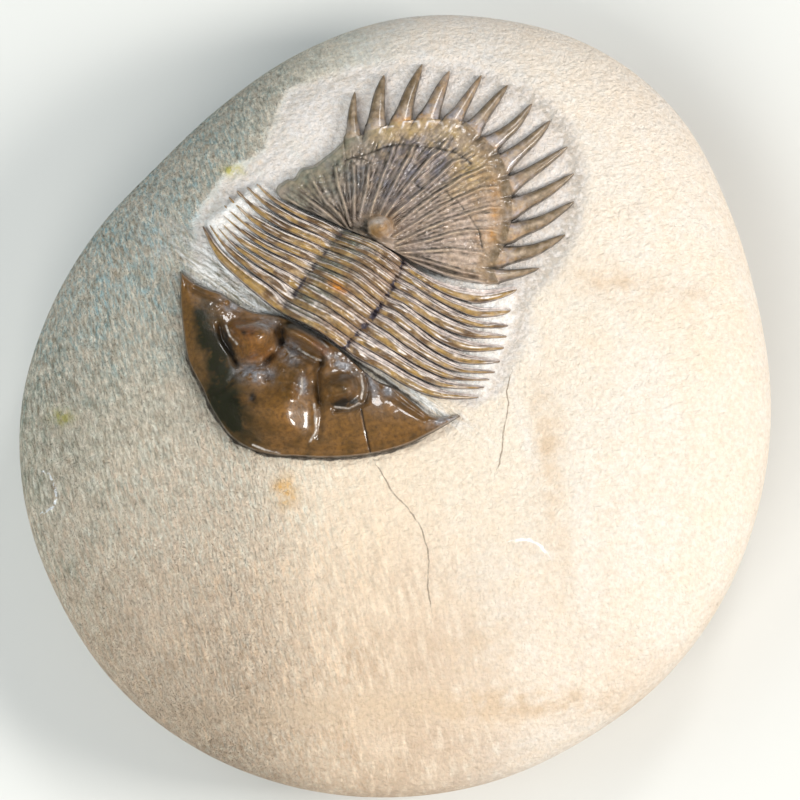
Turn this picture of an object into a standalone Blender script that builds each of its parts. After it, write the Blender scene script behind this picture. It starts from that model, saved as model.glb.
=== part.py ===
"""A thysanopeltis trilobite in its rounded matrix stone, lying on the stone's flat underside.

The stone's outline and every plate of the fossil are placed by points of a picture taken
almost straight down. PICTURE_SCALE turns them into metres, and picture_to_plan lays them on
the domed face of the stone. +Y is up in the picture, +Z stands up from the stone.
"""

import math

import bmesh
import bpy
import numpy as np

MM = 0.001
STONE_WIDTH = 97.5 * MM
EDGE_HEIGHT = 12.0 * MM
DOME_HEIGHT = 15.0 * MM
REST_SHARE = 0.80
PLATE_GAP = 0.3 * MM
MEAN_RISE = 1.5 * MM
THINNEST = 0.35 * MM
VIEW_TILT = math.radians(10.0)
TILT_STEPS = 4
WELD_PX = 0.01
BLEND_POWER = 4
SHARP_ANGLE = math.radians(60)

# The picture is 800 points wide, and the stone fills 750 of them about its middle.
STONE_WIDTH_PX = 750.0
MIDDLE_PX = (395.0, 403.5)
PICTURE_SCALE = STONE_WIDTH / STONE_WIDTH_PX

# The stone's radius in the picture every 15 degrees, anticlockwise from the right.
STONE_RADII_PX = (
    376, 377, 388, 406, 410, 400, 386, 365, 346, 337, 345, 358,
    373, 382, 387, 393, 394, 392, 389, 386, 382, 382, 380, 377,
)
# How late the dome turns down towards its edge: late at the tail's end, early below the head.
DOME_POWER_FAR = 4.6
DOME_POWER_NEAR = 2.8
STONE_SEGMENTS = 56
DOME_RINGS = 17
EDGE_RINGS = 5

# The head shield's front margin and hind margin, from its left tip to its right tip.
HEAD_FRONT_PX = (
    (183, 273), (183, 300), (186, 330), (192, 362), (206, 390), (217, 413), (238, 440), (268, 453),
    (300, 456), (332, 457), (362, 455), (388, 450), (410, 443), (430, 433), (446, 424), (459, 416),
)
HEAD_HIND_PX = (
    (186, 275), (196, 283), (210, 290), (224, 295), (240, 306), (256, 313), (272, 315), (288, 319),
    (311, 331), (332, 343), (350, 358), (374, 379), (396, 389), (414, 403), (433, 416), (457, 414),
)
HEAD_COLUMNS = 34
HEAD_ROWS = 10
HEAD_EDGE_RISE = 0.5 * MM
HEAD_CHEEK_RISE = 1.7 * MM
# The cheeks are highest nearer the hind margin, and flatten only close to the two tips.
CHEEK_LEAN = 0.7
CHEEK_FULLNESS = 0.5
# Each lobe: middle, half length, half width, turn in degrees, height.
HEAD_LOBES = {
    "front_lobe": ((268, 416), 54, 37, -22, 4.8 * MM),
    "waist": ((291, 375), 30, 23, 62, 4.0 * MM),
    "occipital_ring": ((309, 341), 36, 12, -30, 3.4 * MM),
    "left_eye": ((253, 343), 27, 23, -50, 4.3 * MM),
    "right_eye": ((344, 391), 22, 21, 0, 4.3 * MM),
    "left_knob": ((262, 379), 15, 10, -20, 3.3 * MM),
}

# The middle line of each thorax segment, first to last: four points from the left tip, the left
# furrow, the middle of the ring, the right furrow, and five points to the right tip.
SEGMENT_LINES_PX = (
    ((205, 228), (222, 256), (245, 277), (266, 293), (287, 309), (319, 325),
     (348, 345), (365, 356), (385, 367), (410, 382), (440, 394), (477, 397)),
    ((212, 226), (231, 248), (254, 267), (276, 282), (296, 299), (326, 315),
     (356, 336), (375, 347), (395, 359), (420, 373), (448, 384), (483, 387)),
    ((218, 228), (237, 249), (259, 265), (283, 278), (302, 288), (334, 304),
     (365, 327), (382, 338), (402, 352), (427, 367), (455, 378), (487, 380)),
    ((223, 224), (243, 242), (266, 255), (290, 268), (309, 278), (341, 295),
     (373, 317), (390, 327), (408, 341), (432, 357), (460, 370), (494, 373)),
    ((223, 215), (246, 233), (270, 249), (296, 261), (315, 270), (348, 286),
     (379, 309), (394, 317), (413, 331), (437, 349), (465, 361), (498, 364)),
    ((226, 208), (249, 228), (273, 243), (300, 255), (320, 263), (353, 278),
     (384, 301), (400, 309), (419, 323), (442, 338), (470, 347), (503, 346)),
    ((229, 198), (254, 221), (279, 236), (305, 247), (325, 256), (359, 270),
     (390, 293), (406, 301), (424, 313), (447, 325), (473, 334), (505, 338)),
    ((238, 192), (261, 212), (286, 227), (313, 239), (332, 248), (365, 262),
     (395, 283), (411, 292), (430, 303), (452, 315), (477, 325), (507, 328)),
    ((249, 189), (270, 206), (294, 221), (320, 233), (338, 242), (370, 255),
     (399, 274), (414, 283), (432, 295), (454, 307), (479, 316), (507, 314)),
    ((258, 186), (276, 202), (300, 216), (326, 228), (343, 236), (374, 248),
     (402, 266), (417, 276), (435, 286), (456, 294), (482, 298), (515, 291)),
)
SEGMENT_COLUMNS = 26
SEGMENT_ROWS = 2
RING_RISE = 3.4 * MM
# How far from the ring's middle, at 0, to a tip, at 1, each place of a line lies, and the height
# of the pleura there.
RING_SHARE = 0.25
LINE_PLACES = (0, 4, 5, 6, 11)
LINE_SIDES = (1.0, RING_SHARE, 0.0, RING_SHARE, 1.0)
PLEURA_SIDES = (0.0, RING_SHARE, 0.45, 0.75, 1.0)
PLEURA_RISES = (1.3 * MM, 1.3 * MM, 1.9 * MM, 1.4 * MM, 0.6 * MM)
SEGMENT_SLOPE = 0.25
TIP_START = 0.70
TIP_WIDTH = 0.14
SEGMENT_GAP = 0.35 * MM

# The tail shield: its axis, the broken left margin, and the notches between its spines.
TAIL_AXIS_FRONT_PX = (377, 241)
TAIL_AXIS_BACK_PX = (383, 226)
TAIL_AXIS_OUTLINE_PX = (
    (345, 229), (348, 223), (356, 215), (373, 210), (391, 211), (401, 222), (405, 240), (405, 258),
)
TAIL_BROKEN_MARGIN_PX = (
    (280, 200), (278, 190), (288, 182), (295, 181), (302, 171), (314, 168), (325, 160), (335, 152),
    (344, 143),
)
TAIL_NOTCHES_PX = (
    (344, 143), (364, 137), (389, 127), (415, 122), (442, 122), (464, 124), (480, 139), (497, 155),
    (507, 177), (510, 198), (510, 223), (503, 247), (490, 270), (496, 284),
)
TAIL_FRONT_BULGE_PX = 7.0
BULGED_SECTORS = 2.5
# The middle and the tip of each marginal spine.
TAIL_SPINES_PX = (
    ((353, 117), (355, 94)), ((379, 101), (384, 77)), ((410, 95), (422, 66)),
    ((439, 95), (449, 73)), ((466, 102), (481, 77)), ((491, 107), (507, 87)),
    ((513, 128), (531, 106)), ((531, 142), (549, 123)), ((539, 168), (566, 149)),
    ((543, 195), (572, 176)), ((541, 223), (572, 204)), ((532, 252), (563, 237)),
    ((516, 275), (537, 270)),
)
BROKEN_SECTORS = 2
SECTOR_COLUMNS = 4
TAIL_AXIS_ROWS = 2
TAIL_FAN_ROWS = 4
SPINE_ROWS = 4
SPINE_HALF_WIDTHS_PX = (9.0, 4.5, 0.8)
SPINE_WIDTH_SHARES = (0.0, 0.45, 1.0)
TAIL_AXIS_RISE = 3.0 * MM
TAIL_KNOB = ((384, 227), 13, 12, 0, 3.5 * MM)
TAIL_INNER_RISE = 1.8 * MM
TAIL_MARGIN_RISE = 1.0 * MM
TAIL_RIB = 0.35 * MM
TAIL_FALL_POWER = 1.5
TAIL_RIB_START = 0.25
TAIL_RIB_FADE_POWER = 3
SPINE_TIP_RISE = 0.45 * MM
SPINE_CREST = 0.25 * MM

# Each material: its colour and its roughness.
STONE_FINISH = ((0.78, 0.66, 0.50, 1.0), 0.85)
HEAD_FINISH = ((0.20, 0.11, 0.04, 1.0), 0.35)
THORAX_FINISH = ((0.26, 0.16, 0.08, 1.0), 0.45)
TAIL_FINISH = ((0.30, 0.22, 0.14, 1.0), 0.50)


def along_curve(points, place):
    """A smooth curve through the points, read at place, counted in points from the first."""
    points = np.asarray(points, float)
    place = np.asarray(place, float)
    last = len(points) - 1
    step = np.clip(np.floor(place), 0, last - 1).astype(int)
    part = (place - step)[..., None]
    before = points[np.maximum(step - 1, 0)]
    start = points[step]
    end = points[step + 1]
    after = points[np.minimum(step + 2, last)]
    leave = (end - before) / 2
    arrive = (after - start) / 2
    rest = 3 * (end - start) - 2 * leave - arrive
    bend = 2 * (start - end) + leave + arrive
    return start + part * (leave + part * (rest + part * bend))


def stone_radius(angle):
    """The stone's radius in the picture, in its points, for an angle in radians."""
    radii = np.array(STONE_RADII_PX, float)
    ring = np.concatenate([radii[-2:], radii, radii[:3]])[:, None]
    turn = np.mod(angle, 2 * math.pi) * len(radii) / (2 * math.pi)
    return along_curve(ring, turn + 2)[..., 0]


def dome_power(angle):
    """How flat the dome stays before it turns down, by direction."""
    far = (1 + np.sin(angle)) / 2
    return DOME_POWER_NEAR + (DOME_POWER_FAR - DOME_POWER_NEAR) * far


def dome_top(angle, share):
    """The height of the stone's upper face at a share of its radius."""
    left = np.clip(1 - share ** dome_power(angle), 0, 1)
    return EDGE_HEIGHT + DOME_HEIGHT * np.sqrt(left)


def stone_rim(angles):
    """The stone's widest outline in plan, before it is centred, for angles in the picture."""
    radius = stone_radius(angles) * PICTURE_SCALE
    return np.array([radius * np.cos(angles), radius * np.sin(angles) / math.cos(VIEW_TILT)])


def stone_middle():
    """The middle of the box round the stone's outline, which the origin stands under."""
    rim = stone_rim(np.arange(STONE_SEGMENTS) * 2 * math.pi / STONE_SEGMENTS)
    return (rim.min(axis=1) + rim.max(axis=1)) / 2


def stone_height(x, y):
    """The height of the stone's upper face over a place in plan, before it is centred."""
    seen_y = y * math.cos(VIEW_TILT)
    angle = np.arctan2(seen_y, x)
    share = np.hypot(x, seen_y) / (stone_radius(angle) * PICTURE_SCALE)
    return dome_top(angle, np.minimum(share, 1))


def picture_to_plan(px, py):
    """The place in plan of a point of the fossil seen in the tilted picture."""
    x = (px - MIDDLE_PX[0]) * PICTURE_SCALE
    seen = (MIDDLE_PX[1] - py) * PICTURE_SCALE
    y = seen.copy()
    for _ in range(TILT_STEPS):
        rise = stone_height(x, y) - EDGE_HEIGHT + MEAN_RISE
        y = (seen - rise * math.sin(VIEW_TILT)) / math.cos(VIEW_TILT)
    return x, y


def lobe(px, py, middle, half_length, half_width, turn, height):
    """An oval dome in picture points, as high as height in its middle."""
    turn = math.radians(turn)
    across = px - middle[0]
    up = middle[1] - py
    along = (across * math.cos(turn) + up * math.sin(turn)) / half_length
    aside = (up * math.cos(turn) - across * math.sin(turn)) / half_width
    return height * np.sqrt(np.clip(1 - along**2 - aside**2, 0, 1))


def blend_high(low, high):
    """The higher of two reliefs, with a soft join where they meet."""
    return (low**BLEND_POWER + high**BLEND_POWER) ** (1 / BLEND_POWER)


def between(start, end, share):
    """From start to end by share, for arrays of points."""
    return start + (end - start) * share[..., None]


def clear_scene():
    for obj in list(bpy.data.objects):
        bpy.data.objects.remove(obj, do_unlink=True)


def make_material(name, finish):
    colour, roughness = finish
    material = bpy.data.materials.new(name)
    material.use_nodes = True
    shader = material.node_tree.nodes["Principled BSDF"]
    shader.inputs["Base Color"].default_value = colour
    shader.inputs["Roughness"].default_value = roughness
    shader.inputs["Metallic"].default_value = 0.0
    return material


def finish_object(bm, name, finish, collection):
    """Turns the bmesh into a smooth named object with its own material."""
    bmesh.ops.recalc_face_normals(bm, faces=bm.faces[:])
    if bm.calc_volume(signed=True) < 0:
        bmesh.ops.reverse_faces(bm, faces=bm.faces[:])
    mesh = bpy.data.meshes.new(name)
    bm.to_mesh(mesh)
    bm.free()
    mesh.shade_smooth()
    mesh.set_sharp_from_angle(angle=SHARP_ANGLE)
    mesh.materials.append(make_material(name, finish))
    obj = bpy.data.objects.new(name, mesh)
    collection.objects.link(obj)
    return obj


def build_stone(collection):
    """The matrix stone: a sphere pressed to a domed slab, with a flat face underneath."""
    bm = bmesh.new()
    rings = DOME_RINGS + EDGE_RINGS + 1
    bmesh.ops.create_uvsphere(bm, u_segments=STONE_SEGMENTS, v_segments=rings, radius=1.0)
    for vertex in bm.verts:
        angle = math.atan2(vertex.co.y, vertex.co.x)
        ring = round(math.acos(max(-1.0, min(1.0, vertex.co.z))) * rings / math.pi)
        if ring <= DOME_RINGS:
            share = math.sin(math.pi / 2 * ring / DOME_RINGS)
            height = float(dome_top(angle, share))
        else:
            roll = math.pi / 2 * min(1.0, (ring - DOME_RINGS) / EDGE_RINGS)
            share = REST_SHARE + (1 - REST_SHARE) * math.cos(roll)
            height = EDGE_HEIGHT * (1 - math.sin(roll))
            if ring == rings:
                share = 0.0
                height = 0.0
        rim = stone_rim(np.array(angle)) * share - stone_middle()
        vertex.co = (rim[0], rim[1], height)
    return finish_object(bm, "matrix_stone", STONE_FINISH, collection)


def add_sheet(bm, px, py, rise):
    """Adds a grid whose vertices stand at (px, py) of the picture, and rise above the stone."""
    columns, rows = px.shape
    made = bmesh.ops.create_grid(bm, x_segments=columns - 1, y_segments=rows - 1, size=1.0)
    for vertex in made["verts"]:
        i = round((vertex.co.x + 1) / 2 * (columns - 1))
        j = round((vertex.co.y + 1) / 2 * (rows - 1))
        vertex.co = (px[i, j], py[i, j], rise[i, j] / MM)


def lay_plate(bm, name, finish, collection):
    """Gives the sheets of a plate their thickness and lays them on the stone."""
    bmesh.ops.remove_doubles(bm, verts=bm.verts[:], dist=WELD_PX)
    under = bm.verts[:]
    made = bmesh.ops.extrude_face_region(bm, geom=bm.faces[:], use_keep_orig=True)
    over = [item for item in made["geom"] if isinstance(item, bmesh.types.BMVert)]
    for vertex in under:
        vertex.co.z = 0.0
    middle = stone_middle()
    for vertex in under + over:
        x, y = picture_to_plan(np.array([vertex.co.x]), np.array([vertex.co.y]))
        floor = float(stone_height(x, y)[0]) + PLATE_GAP
        vertex.co = (x[0] - middle[0], y[0] - middle[1], floor + vertex.co.z * MM)
    return finish_object(bm, name, finish, collection)


def build_cephalon(collection):
    """The head shield: a crescent whose cheeks rise to the eyes and the glabella."""
    columns = np.linspace(0, 1, HEAD_COLUMNS + 1)[:, None]
    rows = np.linspace(0, 1, HEAD_ROWS + 1)[None, :]
    place = columns * (len(HEAD_FRONT_PX) - 1) + 0 * rows
    front = along_curve(HEAD_FRONT_PX, place)
    hind = along_curve(HEAD_HIND_PX, place)
    points = between(front, hind, rows + 0 * columns)
    px = points[..., 0]
    py = points[..., 1]
    swell = np.sin(math.pi * rows**CHEEK_LEAN) * np.sin(math.pi * columns) ** CHEEK_FULLNESS
    rise = HEAD_EDGE_RISE + HEAD_CHEEK_RISE * np.clip(swell, 0, 1)
    for shape in HEAD_LOBES.values():
        rise = blend_high(rise, lobe(px, py, *shape))
    bm = bmesh.new()
    add_sheet(bm, px, py, rise)
    return lay_plate(bm, "cephalon", HEAD_FINISH, collection)


def segment_line(number, place):
    """A point on a segment's middle line or, for a half number, on the seam between two. The first
    and last seams lie as far outside their segments as the next ones do inside."""
    lines = np.array(SEGMENT_LINES_PX, float)
    before = 2 * lines[:1] - lines[1:2]
    after = 2 * lines[-1:] - lines[-2:-1]
    lines = np.concatenate([before, lines, after])
    low = int(number)
    return along_curve((lines[low] + lines[math.ceil(number)]) / 2, place)


def build_segment(index, collection):
    """One thorax segment: a raised axial ring and a curved, pointed pleura each side."""
    place = np.linspace(0, LINE_PLACES[-1], SEGMENT_COLUMNS + 1)
    ahead = segment_line(index - 0.5, place)
    behind = segment_line(index + 0.5, place)
    side = np.interp(place, LINE_PLACES, LINE_SIDES)
    width = np.linalg.norm(behind - ahead, axis=1) * PICTURE_SCALE
    tip = np.clip((1 - side) / (1 - TIP_START), 0, 1)
    kept = (1 - SEGMENT_GAP / width) * (TIP_WIDTH + (1 - TIP_WIDTH) * np.sqrt(tip))
    rows = np.linspace(0, 1, SEGMENT_ROWS + 1)[None, :]
    across = 0.5 + (rows - 0.5) * kept[:, None]
    points = between(ahead[:, None, :], behind[:, None, :], across)
    ring = RING_RISE * np.sqrt(np.clip(1 - (side / RING_SHARE) ** 2, 0, 1))
    crest = blend_high(ring, np.interp(side, PLEURA_SIDES, PLEURA_RISES))[:, None]
    rise = crest * (1 - SEGMENT_SLOPE * np.abs(rows * 2 - 1))
    bm = bmesh.new()
    add_sheet(bm, points[..., 0], points[..., 1], np.maximum(rise, THINNEST))
    return lay_plate(bm, f"thorax_segment_{index:02d}", THORAX_FINISH, collection)


def tail_margin(place):
    """The tail's margin, counted in sectors of the fan from its front left corner."""
    broken = along_curve(TAIL_BROKEN_MARGIN_PX, np.minimum(place, BROKEN_SECTORS) * SECTOR_COLUMNS)
    notches = np.array(TAIL_NOTCHES_PX, float)
    sector = np.clip(place - BROKEN_SECTORS, 0, len(notches) - 1)
    start = np.clip(np.floor(sector), 0, len(notches) - 2).astype(int)
    rooted = between(notches[start], notches[start + 1], sector - start)
    return np.where((place <= BROKEN_SECTORS)[..., None], broken, rooted)


def rib_wave(place):
    """1 on the crest of each rib and 0 in the furrow between two."""
    return np.sin(math.pi * np.mod(place, 1.0))


def build_pygidium(collection):
    """The tail shield: a short axis, a fan of ribs round it, and flat spines on its margin."""
    sectors = BROKEN_SECTORS + len(TAIL_SPINES_PX)
    columns = sectors * SECTOR_COLUMNS
    place = (np.arange(columns + 1) / SECTOR_COLUMNS)[:, None]
    turn = place / sectors
    rows = np.arange(TAIL_AXIS_ROWS + TAIL_FAN_ROWS + 1)[None, :]
    inner = np.clip(rows / TAIL_AXIS_ROWS, 0, 1) + 0 * place
    outer = np.clip((rows - TAIL_AXIS_ROWS) / TAIL_FAN_ROWS, 0, 1) + 0 * place
    spread = 1 - np.abs(2 * turn - 1) + 0 * rows
    front = np.array(TAIL_AXIS_FRONT_PX, float)
    back = np.array(TAIL_AXIS_BACK_PX, float)
    keel = between(front, back, spread)
    axis_edge = along_curve(TAIL_AXIS_OUTLINE_PX, turn * (len(TAIL_AXIS_OUTLINE_PX) - 1) + 0 * rows)
    margin = tail_margin(place + 0 * rows)
    points = between(between(keel, axis_edge, inner), margin, outer)
    near_front = np.clip((place - sectors + BULGED_SECTORS) / BULGED_SECTORS, 0, 1)
    points[..., 1] += TAIL_FRONT_BULGE_PX * near_front * np.sin(math.pi * outer)
    px = points[..., 0]
    py = points[..., 1]
    fan = TAIL_INNER_RISE + (TAIL_MARGIN_RISE - TAIL_INNER_RISE) * outer**TAIL_FALL_POWER
    shown = np.clip(outer / TAIL_RIB_START, 0, 1) * (1 - outer**TAIL_RIB_FADE_POWER)
    fan = fan + TAIL_RIB * (rib_wave(place) - 0.5) * shown
    axis = TAIL_AXIS_RISE * np.sqrt(np.clip(1 - inner**2, 0, 1))
    rise = blend_high(blend_high(fan, axis), lobe(px, py, *TAIL_KNOB))
    bm = bmesh.new()
    add_sheet(bm, px, py, rise)
    for number, (middle, tip) in enumerate(TAIL_SPINES_PX):
        add_spine(bm, number, middle, tip, rise, rows.size - 1)
    return lay_plate(bm, "pygidium", TAIL_FINISH, collection)


def add_spine(bm, number, middle, tip, fan_rise, margin_row):
    """One marginal spine, its root shared with the fan's margin."""
    first = (BROKEN_SECTORS + number) * SECTOR_COLUMNS
    place = np.arange(first, first + SECTOR_COLUMNS + 1) / SECTOR_COLUMNS
    root = tail_margin(place)
    root_rise = fan_rise[first : first + SECTOR_COLUMNS + 1, margin_row]
    axis = np.array([root.mean(axis=0), middle, tip])
    share = np.linspace(0, 1, SPINE_ROWS + 1)
    line = along_curve(axis, share * 2)
    run = line[-1] - line[0]
    side = np.array([-run[1], run[0]]) / np.hypot(*run)
    if (root[-1] - root[0]) @ side < 0:
        side = -side
    half = np.interp(share, SPINE_WIDTH_SHARES, SPINE_HALF_WIDTHS_PX)
    lateral = np.linspace(-1, 1, SECTOR_COLUMNS + 1)
    points = line[None] + (lateral[:, None] * half[None])[..., None] * side
    points[:, 0] = root
    crest = SPINE_CREST * (1 - lateral[:, None] ** 2) * (1 - share)
    rise = TAIL_MARGIN_RISE + (SPINE_TIP_RISE - TAIL_MARGIN_RISE) * share[None, :] + crest
    rise[:, 0] = root_rise
    add_sheet(bm, points[..., 0], points[..., 1], rise)


def main():
    clear_scene()
    collection = bpy.data.collections.new("thysanopeltis_trilobite")
    bpy.context.scene.collection.children.link(collection)
    build_stone(collection)
    build_cephalon(collection)
    for index in range(1, len(SEGMENT_LINES_PX) + 1):
        build_segment(index, collection)
    build_pygidium(collection)


main()
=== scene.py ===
import math

import bmesh
import bpy
import numpy as np
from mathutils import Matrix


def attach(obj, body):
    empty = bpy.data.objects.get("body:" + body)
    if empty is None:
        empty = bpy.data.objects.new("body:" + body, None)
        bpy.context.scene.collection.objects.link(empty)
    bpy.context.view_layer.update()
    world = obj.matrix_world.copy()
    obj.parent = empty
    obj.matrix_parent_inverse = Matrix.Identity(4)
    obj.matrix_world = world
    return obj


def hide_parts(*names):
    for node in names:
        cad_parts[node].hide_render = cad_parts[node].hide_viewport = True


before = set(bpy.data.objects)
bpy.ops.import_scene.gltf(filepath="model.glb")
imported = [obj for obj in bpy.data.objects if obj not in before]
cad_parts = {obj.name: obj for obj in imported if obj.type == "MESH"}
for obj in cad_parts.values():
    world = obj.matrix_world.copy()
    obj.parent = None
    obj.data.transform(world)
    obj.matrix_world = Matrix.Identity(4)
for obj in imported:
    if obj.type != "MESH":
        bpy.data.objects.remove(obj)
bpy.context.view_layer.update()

# The matrix stone is one hand-sized lump of pale fine limestone, ground to a smooth dome with a
# flat underside. A preparator sank a shallow, rougher hollow into it round the fossil's spines.
MM = 0.001
STONE_WIDTH = 97.5 * MM
STONE_WIDTH_PX = 750.0
MIDDLE_PX = (395.0, 403.5)
PICTURE_SCALE = STONE_WIDTH / STONE_WIDTH_PX
VIEW_TILT = math.radians(10.0)
EDGE_HEIGHT = 12.0 * MM
DOME_HEIGHT = 15.0 * MM
DOME_POWER_FAR = 4.6
DOME_POWER_NEAR = 2.8
REST_SHARE = 0.80
RIM_STEPS = 56
STONE_RADII_PX = (
    376, 377, 388, 406, 410, 400, 386, 365, 346, 337, 345, 358,
    373, 382, 387, 393, 394, 392, 389, 386, 382, 382, 380, 377,
)
STONE_POLE_PX = (385.0, 262.0)
STONE_COLUMNS = 600
DOME_ROWS = 140
EDGE_ROWS = 18
POLE_CROWDING = 0.07
RELIEF_END = 0.97
FLAT_RINGS = (0.55, 0.25)
HOLLOW_DEPTH = 0.38 * MM
HEAD_GROOVE_DEPTH = 0.35 * MM
HEAD_GROOVE_HALF_PX = 3.0
BED_RISE_MM = 0.55
BED_LEFT_RISE_MM = 0.45
OFFSET_LIMIT_PX = 20
HOLLOW_PX = (
    (290, 92), (340, 73), (400, 62), (460, 62), (510, 80), (545, 99), (566, 122), (580, 153),
    (584, 180), (580, 210), (572, 240), (555, 272), (530, 296), (524, 330), (512, 366), (498, 392),
    (470, 408), (400, 380), (300, 330), (196, 276), (196, 222), (228, 176), (268, 150), (276, 116),
)
PLEURAL_BED_PX = (
    (205, 222), (262, 182), (340, 236), (402, 268), (516, 288), (512, 330), (484, 398), (430, 396),
    (352, 352), (284, 312), (224, 262),
)
HEAD_FRONT_PX = (
    (183, 273), (183, 300), (186, 330), (192, 362), (206, 390), (217, 413), (238, 440), (268, 453),
    (300, 456), (332, 457), (362, 455), (388, 450), (410, 443), (430, 433), (446, 424), (459, 416),
)
HEAD_OUTLINE_PX = HEAD_FRONT_PX + (
    (433, 416), (396, 389), (350, 358), (311, 331), (272, 315), (240, 306), (210, 290), (196, 283),
)
STONE_CRACK_PX = (
    (377, 463), (392, 490), (407, 505), (420, 523), (427, 546), (428, 562), (427, 581), (430, 604),
)
SIDE_CRACK_PX = ((508, 376), (505, 392), (507, 404), (502, 428), (500, 450), (496, 468))
FRONT_CHIP_PX = ((512, 538), (526, 537), (538, 543), (545, 552))
LEFT_CHIP_PX = ((47, 471), (52, 473), (57, 480), (60, 490), (60, 500), (56, 507), (49, 511))


def along_curve(points, place):
    """A smooth curve through the points: a cubic in each step whose slope at a point is half the
    way from the point before to the point after. place counts points from the first."""
    points = np.asarray(points, float)
    place = np.asarray(place, float)
    last = len(points) - 1
    step = np.clip(np.floor(place), 0, last - 1).astype(int)
    part = (place - step)[..., None]
    start, end = points[step], points[step + 1]
    leave = (end - points[np.maximum(step - 1, 0)]) / 2
    arrive = (points[np.minimum(step + 2, last)] - start) / 2
    rest = 3 * (end - start) - 2 * leave - arrive
    bend = 2 * (start - end) + leave + arrive
    return start + part * (leave + part * (rest + part * bend))


def smooth_step(low, high, value):
    """0 below low, 1 above high, and 3t^2 - 2t^3 between them."""
    t = np.clip((value - low) / (high - low), 0, 1)
    return t * t * (3 - 2 * t)


def stone_radius(angle):
    """The stone's radius in the picture for an angle there, read from a closed smooth curve."""
    radii = np.array(STONE_RADII_PX, float)
    ring = np.concatenate([radii[-2:], radii, radii[:3]])[:, None]
    turn = np.mod(angle, 2 * math.pi) * len(radii) / (2 * math.pi)
    return along_curve(ring, turn + 2)[..., 0]


def stone_rim(angles):
    """The widest outline in plan: the radius in the picture, stretched by the view's tilt."""
    radius = stone_radius(angles) * PICTURE_SCALE
    return np.stack([radius * np.cos(angles), radius * np.sin(angles) / math.cos(VIEW_TILT)], axis=-1)


RIM = stone_rim(np.arange(RIM_STEPS) * 2 * math.pi / RIM_STEPS)
STONE_MIDDLE = (RIM.min(axis=0) + RIM.max(axis=0)) / 2


def dome_top(angle, share):
    """The dome: edge height plus dome height times the root of 1 - share^power. The power grows
    from the near side to the far side, so that the far side stays flat for longer."""
    far = (1 + np.sin(angle)) / 2
    power = DOME_POWER_NEAR + (DOME_POWER_FAR - DOME_POWER_NEAR) * far
    return EDGE_HEIGHT + DOME_HEIGHT * np.sqrt(np.clip(1 - share**power, 0, 1))


def stone_height(x, y):
    """The dome's height over a place in plan, before the stone is centred on its box."""
    seen_y = y * math.cos(VIEW_TILT)
    angle = np.arctan2(seen_y, x)
    share = np.hypot(x, seen_y) / (stone_radius(angle) * PICTURE_SCALE)
    return dome_top(angle, np.minimum(share, 1))


def picture_to_plan(px, py, above=0.0):
    """The place in plan of a point seen in the tilted picture at some height above the dome. The
    tilt lifts a high point in the picture, so its y is found by repeating that correction."""
    x = (px - MIDDLE_PX[0]) * PICTURE_SCALE
    seen = (MIDDLE_PX[1] - py) * PICTURE_SCALE
    y = seen.copy()
    for _ in range(5):
        rise = stone_height(x, y) - EDGE_HEIGHT + above
        y = (seen - rise * math.sin(VIEW_TILT)) / math.cos(VIEW_TILT)
    return x, y


def plan_to_picture(x, y):
    """Where a point of the dome is seen in the tilted picture."""
    rise = stone_height(x, y) - EDGE_HEIGHT
    seen = y * math.cos(VIEW_TILT) + rise * math.sin(VIEW_TILT)
    return MIDDLE_PX[0] + x / PICTURE_SCALE, MIDDLE_PX[1] - seen / PICTURE_SCALE


def line_distance(px, py, line):
    """The distance in picture points to the nearest stretch of an open line."""
    nearest = np.full(np.shape(px), 1e9)
    for (ax, ay), (bx, by) in zip(line[:-1], line[1:]):
        dx, dy = bx - ax, by - ay
        t = np.clip(((px - ax) * dx + (py - ay) * dy) / (dx * dx + dy * dy), 0, 1)
        nearest = np.minimum(nearest, np.hypot(px - ax - t * dx, py - ay - t * dy))
    return nearest


def line_offset(px, py, line, reach):
    """Two fields that draw a hairline: the distance to an open line, signed by its side, so that it
    runs through zero there, and how far a point lies before the line's ends, 0 to 1."""
    best = np.full(np.shape(px), 1e9)
    offset = np.full(np.shape(px), 1e9)
    for (ax, ay), (bx, by) in zip(line[:-1], line[1:]):
        dx, dy = bx - ax, by - ay
        t = np.clip(((px - ax) * dx + (py - ay) * dy) / (dx * dx + dy * dy), 0, 1)
        away = np.hypot(px - ax - t * dx, py - ay - t * dy)
        side = np.sign((px - ax) * dy - (py - ay) * dx)
        offset = np.where(away < best, away * side, offset)
        best = np.minimum(best, away)
    ends = np.minimum(np.hypot(px - line[0][0], py - line[0][1]),
                      np.hypot(px - line[-1][0], py - line[-1][1]))
    length = sum(math.dist(a, b) for a, b in zip(line[:-1], line[1:]))
    middle = np.hypot(px - (line[0][0] + line[-1][0]) / 2, py - (line[0][1] + line[-1][1]) / 2)
    near = smooth_step(length * 0.62, length * 0.48, middle) * smooth_step(0, reach, ends)
    return np.clip(offset, -OFFSET_LIMIT_PX, OFFSET_LIMIT_PX), near * (best < OFFSET_LIMIT_PX)


def depth_inside(px, py, outline):
    """The distance to a closed outline, positive inside it. A point is inside if a level line from
    it crosses the outline an odd number of times."""
    odd = np.zeros(np.shape(px), bool)
    ring = tuple(outline) + (outline[0],)
    for (ax, ay), (bx, by) in zip(ring[:-1], ring[1:]):
        if ay != by:
            crosses = ((ay > py) != (by > py)) & (px < (bx - ax) * (py - ay) / (by - ay) + ax)
            odd ^= crosses
    return np.where(odd, 1, -1) * line_distance(px, py, ring)


def spot(px, py, middle, half_length, half_width, turn=0.0):
    """A soft oval mark: e to the minus square of the distance in half lengths and half widths."""
    turn = math.radians(turn)
    across = px - middle[0]
    up = middle[1] - py
    along = (across * math.cos(turn) + up * math.sin(turn)) / half_length
    aside = (up * math.cos(turn) - across * math.sin(turn)) / half_width
    return np.exp(-(along**2 + aside**2))


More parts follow.
